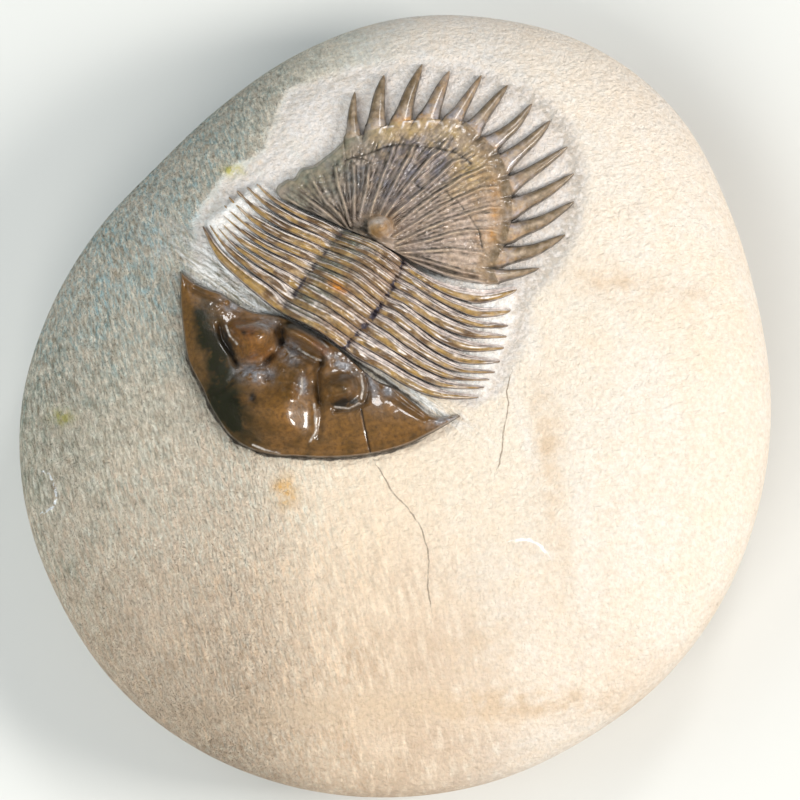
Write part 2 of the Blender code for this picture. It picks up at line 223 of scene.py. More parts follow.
def spots(px, py, *rows):
    """A sum of soft oval marks, each given as its strength and then what spot takes."""
    return sum(strength * spot(px, py, *shape) for strength, *shape in rows)


def waves(x, y, seed, count, shortest, longest):
    """A smooth uneven field of about -1 to 1: a sum of sine waves of random length, direction and
    phase, each weighted by its length."""
    draw = np.random.default_rng(seed)
    total = np.zeros(np.shape(x))
    weight = 0.0
    for _ in range(count):
        length = draw.uniform(shortest, longest)
        turn, phase = draw.uniform(0, 2 * math.pi, 2)
        run = (x * math.cos(turn) + y * math.sin(turn)) / length
        total += length * np.sin(2 * math.pi * run + phase)
        weight += length**2
    return total / math.sqrt(weight)


def make_piece(name, points, faces, marks, slot, *nodes):
    """Puts points and faces into a mesh, with each mark as a value on its vertices, shades it
    smooth, and lets it stand for the CAD nodes on the root body."""
    mesh = bpy.data.meshes.new(name)
    mesh.from_pydata(points.tolist(), [], [tuple(face) for face in faces])
    for mark, values in marks.items():
        mesh.attributes.new(mark, "FLOAT", "POINT").data.foreach_set("value", values.astype(np.float32))
    mesh.validate()
    mesh.shade_smooth()
    piece = bpy.data.objects.new(name, mesh)
    bpy.context.collection.objects.link(piece)
    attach(piece, "root")
    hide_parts(*nodes)
    return piece


def stone_surface():
    """The stone as rows of rings. Over the dome a ring lies at a share of the way from the pole to
    the rim, so that the finest mesh is round the fossil. Below the rim the rings roll under on a
    quarter ellipse to the flat, which closes on one last point, and keep the marks of the rim."""
    angle = np.arange(STONE_COLUMNS) * 2 * math.pi / STONE_COLUMNS
    rim = stone_rim(angle)
    pole = np.array(picture_to_plan(*np.array(STONE_POLE_PX)[:, None])).T[0]
    run = np.arange(1, DOME_ROWS + 1) / DOME_ROWS
    share = run - POLE_CROWDING * np.sin(run * 2 * math.pi)
    flat = pole + share[:, None, None] * (rim - pole)
    x, y = flat[..., 0], flat[..., 1]
    px, py = plan_to_picture(x, y)
    marks = stone_marks(px, py)
    relief = stone_relief(px, py, marks) * smooth_step(1.0, RELIEF_END, share)[:, None]
    height = stone_height(x, y) + relief
    roll = np.arange(1, EDGE_ROWS + 1) / EDGE_ROWS * math.pi / 2
    reach = np.concatenate([REST_SHARE + (1 - REST_SHARE) * np.cos(roll), FLAT_RINGS])
    low = np.concatenate([EDGE_HEIGHT * (1 - np.sin(roll)), [0, 0]])
    under = reach[:, None, None] * rim
    dome = np.stack([x, y, height], axis=-1)
    lower = np.concatenate([under, np.broadcast_to(low[:, None, None], under.shape[:2] + (1,))], axis=-1)
    rings = np.concatenate([dome, lower]).reshape(-1, 3)
    top = np.array([[pole[0], pole[1], height[0].mean()]])
    points = np.concatenate([rings, top, [[0, 0, 0]]])
    points[:, :2] -= STONE_MIDDLE
    rows = DOME_ROWS + len(reach)
    index = np.arange(rows * STONE_COLUMNS).reshape(rows, STONE_COLUMNS)
    beside = np.roll(index, -1, axis=1)
    quads = np.stack([index[:-1], index[1:], beside[1:], beside[:-1]], axis=-1).reshape(-1, 4)
    crown = np.stack([np.full(STONE_COLUMNS, rows * STONE_COLUMNS), index[0], beside[0]], axis=-1)
    base = np.stack([np.full(STONE_COLUMNS, rows * STONE_COLUMNS + 1), beside[-1], index[-1]], axis=-1)
    full = {}
    for mark, values in marks.items():
        below = np.tile(values[-1], len(reach))
        full[mark] = np.concatenate([values.ravel(), below, [values[0].mean(), values[-1].mean()]])
    return points, quads.tolist() + crown.tolist() + base.tolist(), full


def stone_marks(px, py):
    """Where the stone is hollowed and banked, cracked or chipped, stained, pale or sandy, green on
    the left and cool at the far left, partly as painted shade on the side turned from the light,
    stroked by the tool in painted light and painted shade, darkened by a painted shadow line under
    the head's front edge, and pale between the pleurae. A mark is a soft oval, a smooth step
    across the picture or over a depth inside an outline, or the signed distance that a hairline
    is drawn from."""
    depth = depth_inside(px, py, HOLLOW_PX)
    hollow = smooth_step(-7, 7, depth + 2 * waves(px, py, 3, 30, 14, 60))
    smooth = smooth_step(0.6, 0.2, hollow)
    head = depth_inside(px, py, HEAD_OUTLINE_PX)
    # Green on the left: partly the stone's own grey-green, partly painted shade on the side turned from the
    # light.
    green = smooth_step(340, 70, px + 0.45 * (py - 300))
    sand = smooth_step(470, 640, py + 0.25 * (px - 100)) * smooth_step(480, 280, px)
    wisps = spots(px, py, (1, (236, 286), 66, 22, -36), (0.8, (410, 396), 60, 9, -28))
    lines = {}
    for name, line in (("crack", STONE_CRACK_PX), ("side_crack", SIDE_CRACK_PX),
                       ("chip", FRONT_CHIP_PX), ("left_chip", LEFT_CHIP_PX)):
        lines[name], lines[name + "_along"] = line_offset(px, py, line, 6)
    return lines | {
        "hollow": hollow,
        "bank": np.exp(-(((depth - 8) / 8) ** 2)) * (0.35 + 0.65 * smooth_step(480, 560, px)),
        "stain": spot(px, py, (288, 490), 11, 13),
        "yellow": spots(px, py, (1, (66, 417), 10, 7), (0.8, (235, 172), 10, 6)),
        "pale": spots(px, py, (0.9, (522, 430), 8, 48, 15), (0.8, (580, 520), 16, 120, 5),
                      (0.9, (528, 335), 16, 50, 10)),
        "tan": spots(px, py, (0.6, (547, 450), 17, 95, 5), (0.55, (610, 285), 48, 17, -12),
                     (0.3, (690, 300), 22, 16), (0.35, (470, 640), 60, 60), (0.9, (400, 704), 240, 16, 2)),
        "worked": smooth_step(420, 200, px) * smooth,
        # The tool strokes are painted as lit and shaded strokes: painted light and painted shade, the shade
        # heavier on the green left side.
        "bright": 0.50 * smooth_step(440, 240, px) * smooth * (1 - 0.6 * sand),
        "dimmed": 0.05 + (0.10 * smooth_step(480, 200, px) * (1 - 0.7 * sand) + 0.18 * green) * smooth,
        "ridges": 0.8 * smooth_step(430, 620, py + 0.45 * px) * smooth_step(520, 300, px),
        "green": green,
        "cool": smooth_step(450, 260, py) * smooth_step(330, 130, px),
        "sand": sand,
        # A painted shadow line along the head's front edge, drawn as a hairline.
        "gap": np.clip(head + 1.0, -OFFSET_LIMIT_PX, OFFSET_LIMIT_PX),
        "gap_along": smooth_step(330, 380, py) * smooth_step(440, 400, px),
        "wisps": 0.8 * wisps,
        "wisp_gaps": 0.30 * wisps,
        "bed": smooth_step(-2, 4, depth_inside(px, py, PLEURAL_BED_PX)),
    }


def stone_relief(px, py, marks):
    """The stone's own unevenness: long low waves, upright tool strokes on the left, the sunk hollow
    with its pits, a groove round the head that falls off as e to the minus square of the distance,
    and the bed raised between the pleurae, which is higher on the left."""
    head = depth_inside(px, py, HEAD_OUTLINE_PX)
    pleurae = depth_inside(px, py, PLEURAL_BED_PX)
    rough = waves(px, py, 7, 70, 4, 11)
    strokes = waves(px + 0.22 * py, 0.16 * py, 8, 60, 8, 20)
    relief = 0.12 * MM * waves(px, py, 2, 24, 60, 200) + 0.03 * MM * strokes * marks["worked"]
    relief = relief - HOLLOW_DEPTH * marks["hollow"] + 0.07 * MM * rough * marks["hollow"]
    relief = relief - HEAD_GROOVE_DEPTH * np.exp(-((head / HEAD_GROOVE_HALF_PX) ** 2))
    bed_rise = (BED_RISE_MM + BED_LEFT_RISE_MM * smooth_step(300, 240, px)) * MM
    return relief + bed_rise * smooth_step(-2, 6, pleurae)


stone = make_piece("matrix_stone_surface", *stone_surface(), "matrix_stone", "matrix_stone")


def new_group(name, inputs, outputs):
    """An empty shader node group with named sockets."""
    group = bpy.data.node_groups.new(name, "ShaderNodeTree")
    for label, kind, value in inputs:
        socket = group.interface.new_socket(label, in_out="INPUT", socket_type=kind)
        socket.default_value = value
    for label, kind in outputs:
        group.interface.new_socket(label, in_out="OUTPUT", socket_type=kind)
    return group, group.nodes.new("NodeGroupInput"), group.nodes.new("NodeGroupOutput")


def wire(tree, kind, *links, **values):
    """Adds a node, sets its properties and links each (input, source socket or value) to it."""
    node = tree.nodes.new(kind)
    for label, value in values.items():
        setattr(node, label, value)
    for where, source in links:
        if isinstance(source, bpy.types.NodeSocket):
            tree.links.new(source, node.inputs[where])
        else:
            node.inputs[where].default_value = source
    return node


def maths(tree, operation, *terms, clamp=False):
    """A Math node on sockets or plain numbers, as its output."""
    node = wire(tree, "ShaderNodeMath", *enumerate(terms), operation=operation, use_clamp=clamp)
    return node.outputs[0]


FLOAT, COLOUR, VECTOR = "NodeSocketFloat", "NodeSocketColor", "NodeSocketVector"
WHITE = (1.0, 1.0, 1.0, 1.0)
EVEN = (1.0, 1.0, 1.0)
STROKE_LEAN = (0.0, 0.0, math.radians(15.0))

# One effect for every finish: a colour spread by a mask whose edge a noise breaks up. Stretch
# draws the noise out into strokes.
blend_group, gin, gout = new_group(
    "broken_tint",
    [("Colour", COLOUR, WHITE), ("Tint", COLOUR, WHITE), ("Mask", FLOAT, 0.0), ("Scale", FLOAT, 300.0),
     ("Breakup", FLOAT, 0.5), ("Stretch", VECTOR, EVEN), ("Lean", VECTOR, STROKE_LEAN)],
    [("Colour", COLOUR)],
)
place = wire(blend_group, "ShaderNodeTexCoord")
drawn = wire(blend_group, "ShaderNodeMapping", ("Vector", place.outputs["Object"]),
             ("Rotation", gin.outputs["Lean"]), ("Scale", gin.outputs["Stretch"]), vector_type="TEXTURE")
patches = wire(blend_group, "ShaderNodeTexNoise", ("Vector", drawn.outputs["Vector"]),
               ("Scale", gin.outputs["Scale"]), ("Detail", 5.0), ("Roughness", 0.6))
centred = maths(blend_group, "SUBTRACT", patches.outputs["Fac"], 0.5)
spread = maths(blend_group, "MULTIPLY", centred, gin.outputs["Breakup"])
swing = maths(blend_group, "MULTIPLY_ADD", spread, 5.0, 1.0)
share = maths(blend_group, "MULTIPLY", swing, gin.outputs["Mask"], clamp=True)
tinted = wire(blend_group, "ShaderNodeMix", ("Factor", share), (6, gin.outputs["Colour"]),
              (7, gin.outputs["Tint"]), data_type="RGBA")
blend_group.links.new(tinted.outputs[2], gout.inputs["Colour"])

# Grain: a fine and a wide noise as one height, for bump. Stretch draws it out into strokes.
grain_group, gin, gout = new_group(
    "stone_grain",
    [("Scale", FLOAT, 1000.0), ("Coarse", FLOAT, 0.5), ("Stretch", VECTOR, EVEN)],
    [("Height", FLOAT)],
)
place = wire(grain_group, "ShaderNodeTexCoord")
drawn = wire(grain_group, "ShaderNodeMapping", ("Vector", place.outputs["Object"]),
             ("Rotation", STROKE_LEAN), ("Scale", gin.outputs["Stretch"]), vector_type="TEXTURE")
fine = wire(grain_group, "ShaderNodeTexNoise", ("Vector", drawn.outputs["Vector"]),
            ("Scale", gin.outputs["Scale"]), ("Detail", 4.0), ("Roughness", 0.65))
wider = maths(grain_group, "MULTIPLY", gin.outputs["Scale"], 0.22)
coarse = wire(grain_group, "ShaderNodeTexNoise", ("Vector", drawn.outputs["Vector"]),
              ("Scale", wider), ("Detail", 3.0), ("Roughness", 0.5))
weighed = maths(grain_group, "MULTIPLY", coarse.outputs["Fac"], gin.outputs["Coarse"])
both = maths(grain_group, "ADD", fine.outputs["Fac"], weighed)
grain_group.links.new(both, gout.inputs["Height"])

# A hairline: 1 where the signed offset from a line, shaken by a noise, is under the width.
line_group, gin, gout = new_group(
    "hairline",
    [("Offset", FLOAT, float(OFFSET_LIMIT_PX)), ("Along", FLOAT, 0.0), ("Width", FLOAT, 1.0)],
    [("Mask", FLOAT)],
)
place = wire(line_group, "ShaderNodeTexCoord")
shake = wire(line_group, "ShaderNodeTexNoise", ("Vector", place.outputs["Object"]), ("Scale", 900.0),
             ("Detail", 3.0))
moved = maths(line_group, "MULTIPLY_ADD", shake.outputs["Fac"], 3.0, -1.5)
shaken = maths(line_group, "ADD", gin.outputs["Offset"], moved)
away = maths(line_group, "ABSOLUTE", shaken)
line = wire(line_group, "ShaderNodeMapRange", ("Value", away), ("From Min", gin.outputs["Width"]),
            ("From Max", 0.0), ("To Min", 0.0), ("To Max", 1.6))
drawn_line = maths(line_group, "MULTIPLY", line.outputs["Result"], gin.outputs["Along"], clamp=True)
line_group.links.new(drawn_line, gout.inputs["Mask"])


def start_material(name, roughness, coat=0.0, coat_roughness=0.1):
    """A material whose Principled shader has its plain values set on its own sockets."""
    material = bpy.data.materials.new(name)
    material.use_nodes = True
    shader = material.node_tree.nodes["Principled BSDF"]
    shader.inputs["Roughness"].default_value = roughness
    shader.inputs["Coat Weight"].default_value = coat
    shader.inputs["Coat Roughness"].default_value = coat_roughness
    return material, material.node_tree, shader


def tint(tree, colour, tint_colour, mask, scale, breakup, stretch=EVEN, lean=STROKE_LEAN):
    """One broken_tint step, from a colour or a socket to a socket."""
    return wire(tree, "ShaderNodeGroup", ("Colour", colour), ("Tint", tint_colour), ("Mask", mask),
                ("Scale", scale), ("Breakup", breakup), ("Stretch", stretch), ("Lean", lean),
                node_tree=blend_group).outputs["Colour"]


def mark_of(tree, name):
    """The value that the mesh's vertices hold under a name."""
    return wire(tree, "ShaderNodeAttribute", attribute_name=name, attribute_type="GEOMETRY").outputs["Fac"]


def hairline(tree, name, width):
    """The mask of a hairline whose two fields the vertices hold."""
    return wire(tree, "ShaderNodeGroup", ("Offset", mark_of(tree, name)),
                ("Along", mark_of(tree, name + "_along")), ("Width", width),
                node_tree=line_group).outputs["Mask"]


def position_ramp(tree, axis, low, high):
    """0 to 1 along an axis of the object, between two places in metres."""
    spot_now = wire(tree, "ShaderNodeTexCoord")
    parts = wire(tree, "ShaderNodeSeparateXYZ", ("Vector", spot_now.outputs["Object"]))
    return wire(tree, "ShaderNodeMapRange", ("Value", parts.outputs[axis]), ("From Min", low),
                ("From Max", high), ("To Min", 0.0), ("To Max", 1.0),
                interpolation_type="SMOOTHSTEP").outputs["Result"]


def tint_all(tree, colour, *steps):
    """A chain of broken_tint steps. Each has its tint, its mask, the noise's scale and breakup and,
    where the noise is drawn out, its stretch and lean. A name stands for the mark that the
    vertices hold, and a name with a width for a hairline."""
    for tint_colour, mask, *noise in steps:
        if isinstance(mask, str):
            mask = mark_of(tree, mask)
        elif isinstance(mask, tuple):
            mask = hairline(tree, *mask)
        colour = tint(tree, colour, tint_colour, mask, *noise)
    return colour


STONE_CREAM = (0.86, 0.75, 0.61, 1.0)
STONE_GREEN = (0.34, 0.405, 0.33, 1.0)
STONE_COOL = (0.40, 0.64, 0.69, 1.0)
STONE_SAND = (0.96, 0.71, 0.49, 1.0)
STONE_GOLD = (0.58, 0.41, 0.28, 1.0)
STONE_PALE = (0.84, 0.77, 0.69, 1.0)
STONE_FAR = (0.78, 0.75, 0.73, 1.0)
STONE_PINK = (0.88, 0.72, 0.56, 1.0)
STONE_TAN = (0.68, 0.52, 0.37, 1.0)
STONE_BED = (0.78, 0.73, 0.70, 1.0)
STONE_WHITE = (0.92, 0.90, 0.88, 1.0)
STONE_BANK = (0.55, 0.50, 0.45, 1.0)
STONE_RUST = (0.80, 0.47, 0.16, 1.0)
STONE_OCHRE = (0.50, 0.46, 0.14, 1.0)
STONE_LIT = (0.90, 0.87, 0.74, 1.0)
STONE_SHADE = (0.20, 0.18, 0.12, 1.0)
STONE_DARK = (0.12, 0.10, 0.08, 1.0)
STONE_SEAM = (0.34, 0.27, 0.20, 1.0)
STROKES = (1.0, 4.0, 2.0)
LONG_STROKES = (1.0, 5.5, 3.0)
WISPS = (1.0, 7.0, 2.0)
WISP_LEAN = (0.0, 0.0, math.radians(54.0))
SCRATCHES = (4.0, 1.0, 1.6)

material, tree, shader = start_material("sanded_limestone", 0.82)
right = position_ramp(tree, "X", -0.005, 0.030)
near = position_ramp(tree, "Y", -0.010, -0.044)
far = position_ramp(tree, "Y", 0.010, 0.045)
worked = mark_of(tree, "worked")
colour = tint_all(
    tree, STONE_CREAM,
    (STONE_SAND, "sand", 70.0, 0.3),
    (STONE_FAR, far, 90.0, 0.3),
    # Green and cool tints on the left: partly the stone's own tone, partly painted shade.
    (STONE_GREEN, "green", 110.0, 0.3, STROKES),
    (STONE_COOL, "cool", 110.0, 0.3, STROKES),
    (STONE_PINK, "ridges", 1300.0, 2.2, LONG_STROKES),
    (STONE_GOLD, near, 1300.0, 1.0, LONG_STROKES),
    # Painted light and painted shade strokes over the tool-worked left.
    (STONE_LIT, "bright", 2600.0, 2.4, STROKES),
    (STONE_SHADE, "dimmed", 2300.0, 2.2, STROKES),
    (STONE_PALE, right, 60.0, 0.5),
    (STONE_PINK, 0.20, 220.0, 1.4),
    (STONE_TAN, "tan", 420.0, 1.2),
    (STONE_PALE, "pale", 260.0, 0.6),
    (STONE_BED, "hollow", 300.0, 0.4),
    (STONE_WHITE, "bed", 900.0, 0.8),
    (STONE_BANK, "bank", 1500.0, 1.6),
    (STONE_RUST, "stain", 700.0, 1.0),
    (STONE_OCHRE, "yellow", 700.0, 1.4),
    (STONE_TAN, 0.14, 1300.0, 1.8),
    (STONE_DARK, 0.05, 1900.0, 2.4),
    (STONE_WHITE, "wisps", 1900.0, 3.0, WISPS, WISP_LEAN),
    (STONE_SHADE, "wisp_gaps", 2300.0, 3.5, WISPS, WISP_LEAN),
    # Painted shadow hairline under the head's front edge.
    (STONE_DARK, ("gap", 2.2), 900.0, 0.3),
    (STONE_SEAM, ("crack", 1.0), 900.0, 0.8),
    (STONE_SEAM, ("side_crack", 0.9), 900.0, 0.5),
    (WHITE, ("chip", 1.8), 900.0, 0.8),
    (WHITE, ("left_chip", 1.5), 1500.0, 4.0),
)
tree.links.new(colour, shader.inputs["Base Color"])


def grain_bump(tree, scale, coarse, strength, depth, under=None, stretch=EVEN):
    """Grain as a bump on what is under it, or on the bare surface."""
    grain = wire(tree, "ShaderNodeGroup", ("Scale", scale), ("Coarse", coarse), ("Stretch", stretch),
                 node_tree=grain_group)
    bump = wire(tree, "ShaderNodeBump", ("Height", grain.outputs["Height"]), ("Strength", strength),
                ("Distance", depth))
    if under is not None:
        tree.links.new(under, bump.inputs["Normal"])
    return bump.outputs["Normal"]


strokes = grain_bump(tree, 1500.0, 0.4, worked, 0.0035, None, STROKES)
scratches = grain_bump(tree, 1500.0, 0.6, 0.35, 0.0006, strokes, SCRATCHES)
tree.links.new(grain_bump(tree, 1700.0, 0.7, 0.7, 0.0010, scratches), shader.inputs["Normal"])
stone.data.materials.append(material)


# The head shield is one thick crescent of amber-brown calcite, polished by the preparator's
# brush. Its glabella swells forward between two high eyes, and a hair crack runs over one cheek.
HEAD_HIND_PX = (
    (186, 275), (196, 283), (210, 290), (224, 295), (240, 306), (256, 313), (272, 315), (288, 319),
    (311, 331), (332, 343), (350, 358), (374, 379), (396, 389), (414, 403), (433, 416), (457, 414),
)
HEAD_COLUMNS = 380
HEAD_ROWS = 160
PLATE_DEPTH = 0.7 * MM
HEAD_EDGE_RISE = 0.75 * MM
HEAD_CHEEK_RISE = 1.9 * MM
HEAD_LEAST_RISE = 0.12 * MM
RIM_RIDGE_RISE = 0.12 * MM
RIM_HIGHLIGHT_HALF_PX = 0.8
MARGIN_GROOVE_DEPTH = 0.10 * MM
MARGIN_GROOVE_PX = 8.0
MARGIN_GROOVE_HALF_PX = 3.0
HEAD_CRACK_DEPTH = 0.22 * MM
HEAD_CRACK_HALF_PX = 0.9
PIT_DEPTH = 0.25 * MM
# Each swelling of the head: its outline, its height and how far in its shoulder reaches.
HEAD_SWELLINGS = (
    (((220, 398), (232, 386), (246, 384), (262, 383), (276, 376), (292, 372), (308, 376), (317, 390),
      (319, 410), (318, 430), (311, 445), (290, 450), (262, 447), (240, 436), (224, 416)), 4.6 * MM, 36),
    (((268, 376), (279, 362), (290, 350), (306, 352), (322, 360), (323, 366), (318, 382), (306, 392),
      (286, 392)), 4.3 * MM, 18),
    (((238, 378), (250, 366), (266, 366), (276, 374), (267, 386), (248, 387)), 3.5 * MM, 9),
    (((281, 324), (296, 325), (312, 333), (329, 345), (332, 352), (326, 360), (314, 355), (300, 346),
      (287, 340)), 3.9 * MM, 8),
    (((227, 326), (236, 320), (262, 319), (279, 324), (282, 332), (280, 344), (272, 356), (258, 363),
      (243, 366), (239, 351), (232, 340)), 5.0 * MM, 20),
    (((290, 365), (300, 361), (312, 366), (314, 375), (305, 382), (294, 380)), 4.9 * MM, 8),
    (((283, 384), (296, 381), (305, 389), (302, 400), (290, 402), (282, 394)), 5.0 * MM, 9),
    (((321, 386), (328, 376), (344, 371), (357, 375), (362, 384), (361, 396), (352, 404), (335, 408),
      (324, 402)), 5.0 * MM, 17),
)
# Each furrow: its line, depth and half width in picture points.
HEAD_FURROWS = (
    (((324, 360), (319, 372), (320, 386), (321, 402)), 0.8 * MM, 2.8),
    (((321, 400), (323, 416), (320, 436)), 0.45 * MM, 2.8),
    (((242, 372), (232, 384), (213, 398)), 0.35 * MM, 3.0),
    (((222, 326), (226, 341), (235, 354), (239, 366)), 0.7 * MM, 2.6),
    (((284, 343), (298, 351), (312, 359), (324, 364)), 0.6 * MM, 3.2),
    (((284, 326), (284, 340), (279, 352), (270, 362)), 0.7 * MM, 3.2),
    (((268, 380), (277, 376), (282, 368)), 0.6 * MM, 2.2),
    (((238, 362), (250, 367), (264, 366), (275, 357)), 0.7 * MM, 2.6),
    (((365, 376), (369, 388), (366, 402), (352, 409), (336, 410)), 0.7 * MM, 2.4),
    (((196, 290), (224, 302), (244, 314)), 0.3 * MM, 3.0),
    (((374, 384), (396, 399), (424, 418)), 0.3 * MM, 2.5),
    (((296, 362), (302, 372), (299, 388)), 0.3 * MM, 1.3),
    (((306, 366), (311, 376), (307, 392)), 0.3 * MM, 1.3),
    (((286, 368), (292, 378), (290, 390)), 0.25 * MM, 1.3),
    (((246, 368), (258, 375), (270, 380)), 0.25 * MM, 1.3),
    (((233, 333), (246, 338), (256, 334)), 0.2 * MM, 1.5),
)
# Pale lines painted as highlights along the rims of the eyes, the glabella, the occipital ring and the front
# margin, each a little raised.
HEAD_RIM_HIGHLIGHT_PX = (
    ((229, 327), (233, 337), (240, 345)),
    ((316, 404), (318, 430), (312, 441)),
    ((362, 376), (364, 388), (362, 398)),
    ((336, 407), (350, 408), (360, 403)),
    ((300, 350), (312, 357), (322, 361)),
    ((312, 334), (322, 341), (329, 348)),
    ((286, 346), (292, 356), (301, 360)),
    ((304, 378), (304, 390), (301, 398)),
    ((256, 444), (268, 449), (282, 452)),
)
HEAD_CRACK_PX = ((362, 409), (366, 429), (371, 452))


def stroke(px, py, line, half):
    """A soft line: e to the minus square of the distance to it in half widths."""
    return np.exp(-((line_distance(px, py, line) / half) ** 2))


def swelling(px, py, outline, height, shoulder):
    """A mound with a round shoulder: over the depth inside it rises as 1 - (1 - t)^2."""
    t = np.clip(depth_inside(px, py, outline) / shoulder, 0, 1)
    return height * (1 - (1 - t) ** 2)


def blend_high(low, high, power=5):
    """The higher of two reliefs, joined softly as the root of their summed powers."""
    return (low**power + high**power) ** (1 / power)


def soften(grid, times):
    """Each value replaced by a quarter of its neighbours and a half of itself, on both ways."""
    for _ in range(times):
        for axis in (0, 1):
            wide = np.concatenate([grid.take([0], axis), grid, grid.take([-1], axis)], axis=axis)
            count = grid.shape[axis]
            before = wide.take(range(count), axis)
            after = wide.take(range(2, count + 2), axis)
            grid = (before + 2 * grid + after) / 4
    return grid


def lay_on_stone(px, py, rise):
    """Points over the stone that are seen at the picture points, at the dome's height plus rise."""
    x, y = picture_to_plan(px, py, rise)
    return np.stack([x - STONE_MIDDLE[0], y - STONE_MIDDLE[1], stone_height(x, y) + rise], axis=-1)


def grid_faces(shape, start=0):
    """The four-sided faces of a grid of points, counted from start."""
    index = np.arange(shape[0] * shape[1]).reshape(shape) + start
    return np.stack([index[:-1, :-1], index[:-1, 1:], index[1:, 1:], index[1:, :-1]], axis=-1).reshape(-1, 4)


def close_plate(points, faces, marks):
    """Makes a thick plate of an open sheet: points that coincide are joined, and the sheet's
    edge is carried down into the stone. The loop that it leaves there is filled by finish_plate."""
    _, first, index = np.unique(np.round(points, 7), axis=0, return_index=True, return_inverse=True)
    faces = index.reshape(-1)[faces]
    ends = np.stack([faces, np.roll(faces, -1, axis=1)], axis=-1).reshape(-1, 2)
    ends = ends[ends[:, 0] != ends[:, 1]]
    _, back, count = np.unique(np.sort(ends, axis=1), axis=0, return_inverse=True, return_counts=True)
    open_ends = ends[count[back.reshape(-1)] == 1]
    points = points[first]
    marks = {mark: values[first] for mark, values in marks.items()}
    rim, place_in = np.unique(open_ends, return_inverse=True)
    low = points[rim] - np.array([0, 0, PLATE_DEPTH])
    walls = place_in.reshape(-1, 2) + len(points)
    sides = np.stack([open_ends[:, 1], open_ends[:, 0], walls[:, 0], walls[:, 1]], axis=-1)
    marks = {mark: np.concatenate([values, values[rim]]) for mark, values in marks.items()}
    tidy = [tuple(dict.fromkeys(face)) for face in faces.tolist()]
    return np.concatenate([points, low]), [face for face in tidy if len(face) > 2] + sides.tolist(), marks


def finish_plate(piece):
    """Fills the open loop under a plate and turns every face outwards."""
    bm = bmesh.new()
    bm.from_mesh(piece.data)
    loop = [edge for edge in bm.edges if edge.is_boundary]
    bmesh.ops.triangle_fill(bm, edges=loop, use_beauty=True)
    bmesh.ops.recalc_face_normals(bm, faces=bm.faces[:])
    if bm.calc_volume(signed=True) < 0:
        bmesh.ops.reverse_faces(bm, faces=bm.faces[:])
    for face in bm.faces:
        face.smooth = True
    bm.to_mesh(piece.data)
    bm.free()


